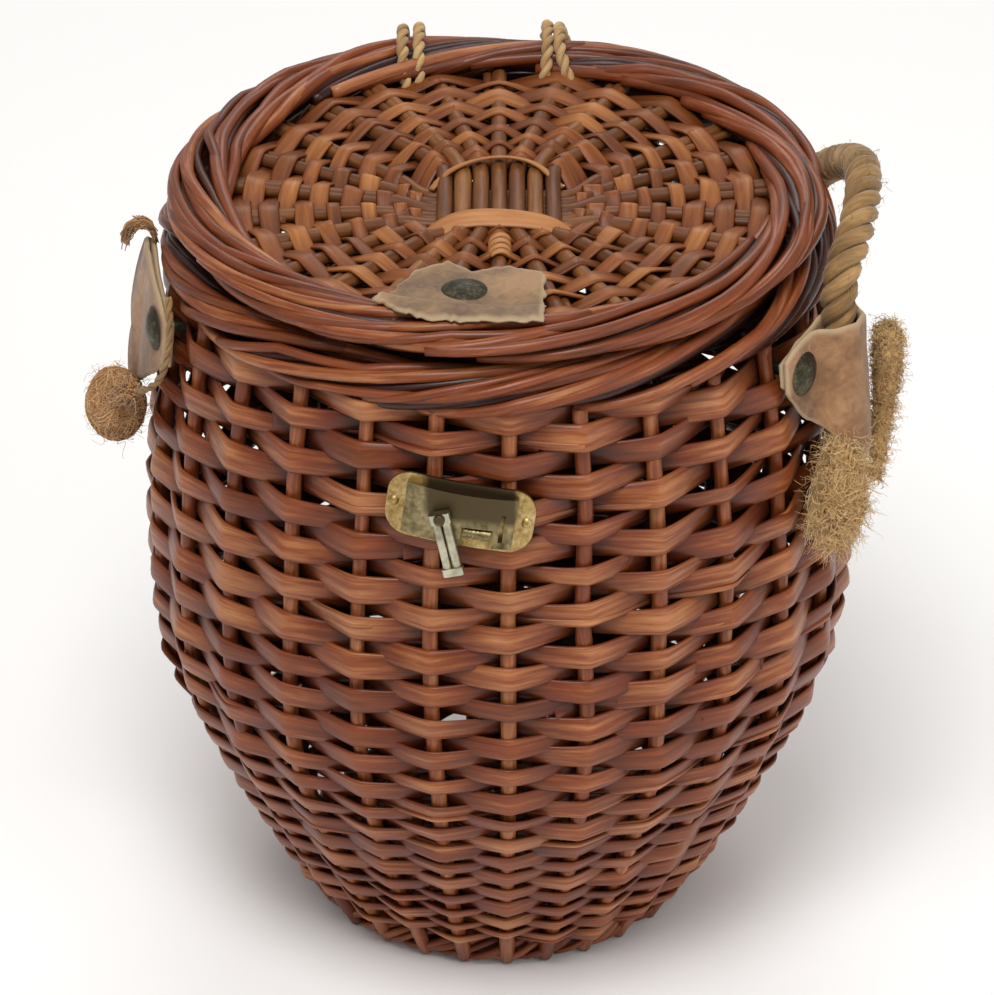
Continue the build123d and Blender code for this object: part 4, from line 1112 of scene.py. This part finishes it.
left_fold, left_slope = 3.2, 0.10
right_edges = (
    [(0, 272), (0.12, 262), (0.26, 250), (0.38, 240), (0.5, 234), (0.6, 232.5), (0.68, 237)]
    + [(0.8, 248), (0.9, 256), (1, 270)],
    [(0, 281), (0.12, 286), (0.3, 288), (0.5, 290), (0.62, 290), (0.75, 289), (0.88, 287.5)]
    + [(0.95, 286), (1, 283)],
)
left_edges = (
    [(0, 262), (0.2, 250), (0.36, 240), (0.5, 234), (0.6, 234), (0.75, 244), (0.9, 255), (1, 264)],
    [(0, 280), (0.2, 288), (0.36, 292), (0.5, 293), (0.6, 293), (0.75, 291), (0.9, 287), (1, 280)],
)
for name, node, edges, place in (
    ("right_tab_leather", "right_tab", right_edges, tab_place(-25.0, -1, 8.4, 13.6)),
    ("left_tab_leather", "left_tab", left_edges, tab_place(-176.5, 1, left_fold, 19.0, left_slope)),
):
    look = {"thickness": leather_thick, "random": leather_random, "tear": 0.0}
    tab = leather_piece(name, tab_leather, "basket", edges, place, **look)
    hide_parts(node)

# ---- rope's remnants at the left ----------------------------------------------------
# The rope has broken off here: a stub of one strand is left in the tab, its fibres felted
# into a ball below it, one loose yarn hangs down the tab's front edge, and a wisp stands
# up above the tab.

left_random = np.random.default_rng(61)


def around(radius, azimuth, z):
    """A point in millimetres at a radius and an azimuth."""
    return radial(azimuth) * radius + UP * z


def laid_yarn(name, node, route, radius, lay):
    """A short length of rope strand, two yarns twisted together along a route."""
    path, along = evenly(round_corners(route, 4) * MM, 0.9 * MM)
    bundle = new_bundle()
    size = radius * MM
    shape = {"offset": size * 0.46, "wide": size * 0.56, "thick": size * 0.52, "sides": 14}
    lay_plies(bundle, path, along, lay * MM, **shape, tones=(0.5, 0.55), ridges=(5, 0.14, 800.0))
    piece = finish_bundle(name, bundle, manila, "basket")
    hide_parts(node)


ball_azimuth = -172.0
stub_azimuth, stub_radius = -176.5, leaf_inner + leather_thick / 2 + left_fold
stub_route = [
    around(stub_radius - left_slope * 51, stub_azimuth, 284),
    around(stub_radius - left_slope * 25, stub_azimuth, 258),
    around(stub_radius + 0.3, stub_azimuth, 234),
    around(149.5, ball_azimuth, 224),
]
laid_yarn("left_stub_strand", "left_rope_stub", stub_route, radius=1.8, lay=12.0)
yarn_route = [
    around(134.5, -157.0, 293),
    around(136.5, -154.6, 276),
    around(140.0, -156.0, 258),
    around(145.5, -161.5, 248),
    around(149.0, -167.0, 239),
    around(149.5, -170.5, 231),
]
laid_yarn("left_loose_yarn", "left_strand", yarn_route, radius=1.55, lay=11.0)
# the felted ball below the tab
ball_bundle = new_bundle()
ball_count = 1700
ball_centre = around(149.6, ball_azimuth, 228)
ball_size = np.array([11.0, 11.0, 14.2])
for _ in range(ball_count):
    # each fibre lies in an arc round the ball and lifts a little off it
    pole = unit(left_random.normal(size=3))
    side = unit(np.cross(pole, left_random.normal(size=3)))
    sweep = np.linspace(0, left_random.uniform(0.5, 1.7), 12)[:, None]
    bend = sweep * left_random.uniform(-0.7, 0.7)
    way = side * np.cos(bend) + np.cross(pole, side) * np.sin(bend)
    face = unit(pole * np.cos(sweep) + way * np.sin(sweep))
    lifted = 1 + 0.09 * left_random.uniform(0, 1) ** 2 * np.sin(sweep / sweep[-1] * pi)
    thick = np.full(12, left_random.uniform(0.16, 0.3) * MM)
    tone = left_random.uniform(0.15, 0.75)
    line = (ball_centre + face * ball_size * lifted) * MM
    lay_strip(ball_bundle, line, face, thick, thick, tone, sides=4)
# fibres that stray off it
stray_count = 110
spread = unit(left_random.normal(size=(stray_count, 3)))
roots = (ball_centre + spread * ball_size * 0.97) * MM
ways = np.cross(spread, left_random.normal(size=(stray_count, 3))) + spread * 0.12
look = {"length": 9 * MM, "curl": 0.16, "droop": 0.0, "thick": 0.15 * MM, "tone": 0.6}
fibres(ball_bundle, left_random, roots, unit(ways), **look, steps=12, waves=1.2)
# the felted heart that all of them lie on
heart_z = np.linspace(-14, 13, 14)
heart = ball_centre + np.stack([0 * heart_z, 0 * heart_z, heart_z], axis=1)
heart_wide = 10.6 * np.sqrt(np.clip(1 - (heart_z / 15.5) ** 2, 0.02, 1))
lay_strip(ball_bundle, heart * MM, (1, 0.2, 0), heart_wide * MM, heart_wide * MM, 0.15, sides=20)
# fibres still gathered straight where the strand runs in
neck_count = 170
neck = around(146.5, -162.5, 248) + left_random.normal(size=(neck_count, 3)) * 1.6
ways = unit(ball_centre + left_random.normal(size=(neck_count, 3)) * 6.0 - neck)
look = {"length": 22 * MM, "curl": 0.06, "droop": 0.0, "thick": 0.22 * MM, "tone": 0.6}
fibres(ball_bundle, left_random, neck * MM, ways, **look)
ball = finish_bundle("left_felted_ball", ball_bundle, felted_manila, "basket")
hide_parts("left_rope_ball")
# the wisp above the tab
wisp_bundle = new_bundle()
wisp_line = round_corners(
    [(-131.0, -9, 293), (-132.5, -9, 300), (-137, -10, 302), (-142, -11, 299), (-143, -12, 290)], 3
)
wisp_count = 230
for _ in range(wisp_count):
    first = left_random.integers(0, 10)
    last = left_random.integers(len(wisp_line) - 12, len(wisp_line))
    spread = np.linspace(0.4, 1.0, last - first)[:, None]
    offset = left_random.normal(size=3) * np.array([0.7, 1.1, 1.0])
    curl = np.stack([wander(left_random, last - first, 5, 0.5) for _ in range(3)], axis=1)
    line = (wisp_line[first:last] + offset * spread * 1.4 + curl) * MM
    tone = left_random.uniform(0.2, 0.7)
    lay_strip(wisp_bundle, line, (0, 0.3, 1.0), 0.24 * MM, 0.2 * MM, tone, sides=4)
wisp = finish_bundle("left_wisp", wisp_bundle, felted_manila, "basket")
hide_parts("left_strand_flag")

# ---- rivets ---------------------------------------------------------------------------
# Domed solid brass rivets, gone dark olive with age and rubbed a little on their crowns,
# with plain burrs behind.


def metal_finish(name, worn, body_colour, dark, roughness, spot_mm, metallic=1.0, upper_dark=None):
    """Old metal: patina in clouds, dark specks and rubbed bright places.

    The last argument lays a darker colour over the upper part: its colour, the slope and height
    of its lower edge, and where it begins and ends across, in millimetres."""
    material, tree, shader = new_finish(name)
    place = add_node(tree, "TexCoord").outputs["Object"]
    noise = {"Scale": 1000 / (spot_mm * 4), "Detail": 6.0, "Roughness": 0.62}
    cloud = add_node(tree, "TexNoise", {"Vector": place, **noise})
    speck = add_node(tree, "TexNoise", {"Vector": place, "Scale": 1000 / spot_mm, "Detail": 3.0})
    total = add_node(tree, "Math", {0: speck, 1: 0.4, 2: cloud}, operation="MULTIPLY_ADD")
    total = add_node(tree, "Math", {0: total, 1: 0.714}, operation="MULTIPLY")
    shown = add_node(tree, "ValToRGB", {0: total}, [(0.3, dark), (0.5, body_colour), (0.7, worn)])
    if upper_dark:
        upper_dark_colour, slope, height, left, right = upper_dark
        axes = add_node(tree, "SeparateXYZ", {"Vector": place}).outputs
        edge = {0: axes["X"], 1: slope, 2: axes["Z"]}
        level = add_node(tree, "Math", edge, operation="MULTIPLY_ADD")
        ragged = {0: cloud, 1: 5.0 * MM, 2: level}
        level = add_node(tree, "Math", ragged, operation="MULTIPLY_ADD")
        cover = 1.0
        # above the lower edge, then within the left and the right one
        for value, first, last in (
            (level, height + 1.5, height + 4.0),
            (axes["X"], left, left + 2.5),
            (axes["X"], right, right - 2.5),
        ):
            limits = {"Value": value, "From Min": first * MM, "From Max": last * MM}
            within = add_node(tree, "MapRange", limits)
            cover = add_node(tree, "Math", {0: cover, 1: within}, operation="MULTIPLY")
        both = {0: cover, 6: shown, 7: linear(upper_dark_colour)}
        shown = add_node(tree, "Mix", both, data_type="RGBA").outputs[2]
    limits = {"To Min": roughness + 0.2, "To Max": roughness - 0.12}
    rough = add_node(tree, "MapRange", {"Value": total, **limits})
    bump = add_node(tree, "Bump", {"Height": speck, "Strength": 0.15, "Distance": 0.0001})
    links = {"Base Color": shown, "Roughness": rough, "Normal": bump}
    set_inputs(tree, shader, {**links, "Metallic": metallic})
    return material


def refinish(material, *nodes):
    """Gives CAD nodes whose shape is right their material."""
    for node in nodes:
        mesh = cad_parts[node].data
        mesh.materials.clear()
        mesh.materials.append(material)


olive_brass = metal_finish("dark_patinated_brass", "#6b654c", "#3f3b2d", "#262319", 0.45, 1.2, 0.85)
refinish(olive_brass, "right_tab_rivet", "left_tab_rivet", "strap_rivet")
refinish(olive_brass, "right_tab_burr", "left_tab_burr", "strap_burr")

# ---- latch ----------------------------------------------------------------------------
# A bent brass plate with a raised, patinated cover, a ribbed roller under its lip, and a
# turning toggle made of two nickelled steel tubes in end collars.

latch_tilt = 7.5  # the plate hangs down to the right
# a darker colour over the upper plate and cover, its lower edge tilted with the plate
upper_dark_height = 248.5 - 14.2 * tan(radians(latch_tilt))
plate_upper_dark = ("#564a36", tan(radians(latch_tilt)), upper_dark_height, -28.0, 8.0)
yellow = ("#d3bc8c", "#b09560", "#7b6238")
brass = metal_finish("aged_yellow_brass", *yellow, 0.42, 1.5, upper_dark=plate_upper_dark)
brown = ("#ad9f78", "#857857", "#52472f")
patina = metal_finish("brown_patinated_brass", *brown, 0.4, 2.0, upper_dark=plate_upper_dark)
steel = metal_finish("nickelled_steel_tube", "#d8d3bf", "#b0aa93", "#756f5c", 0.3, 3.5)
refinish(brass, "latch_plate", "latch_rivets", "latch_burrs")
refinish(patina, "latch_housing", "latch_roller", "toggle_post")
refinish(steel, "toggle_tubes", "toggle_head", "toggle_end")
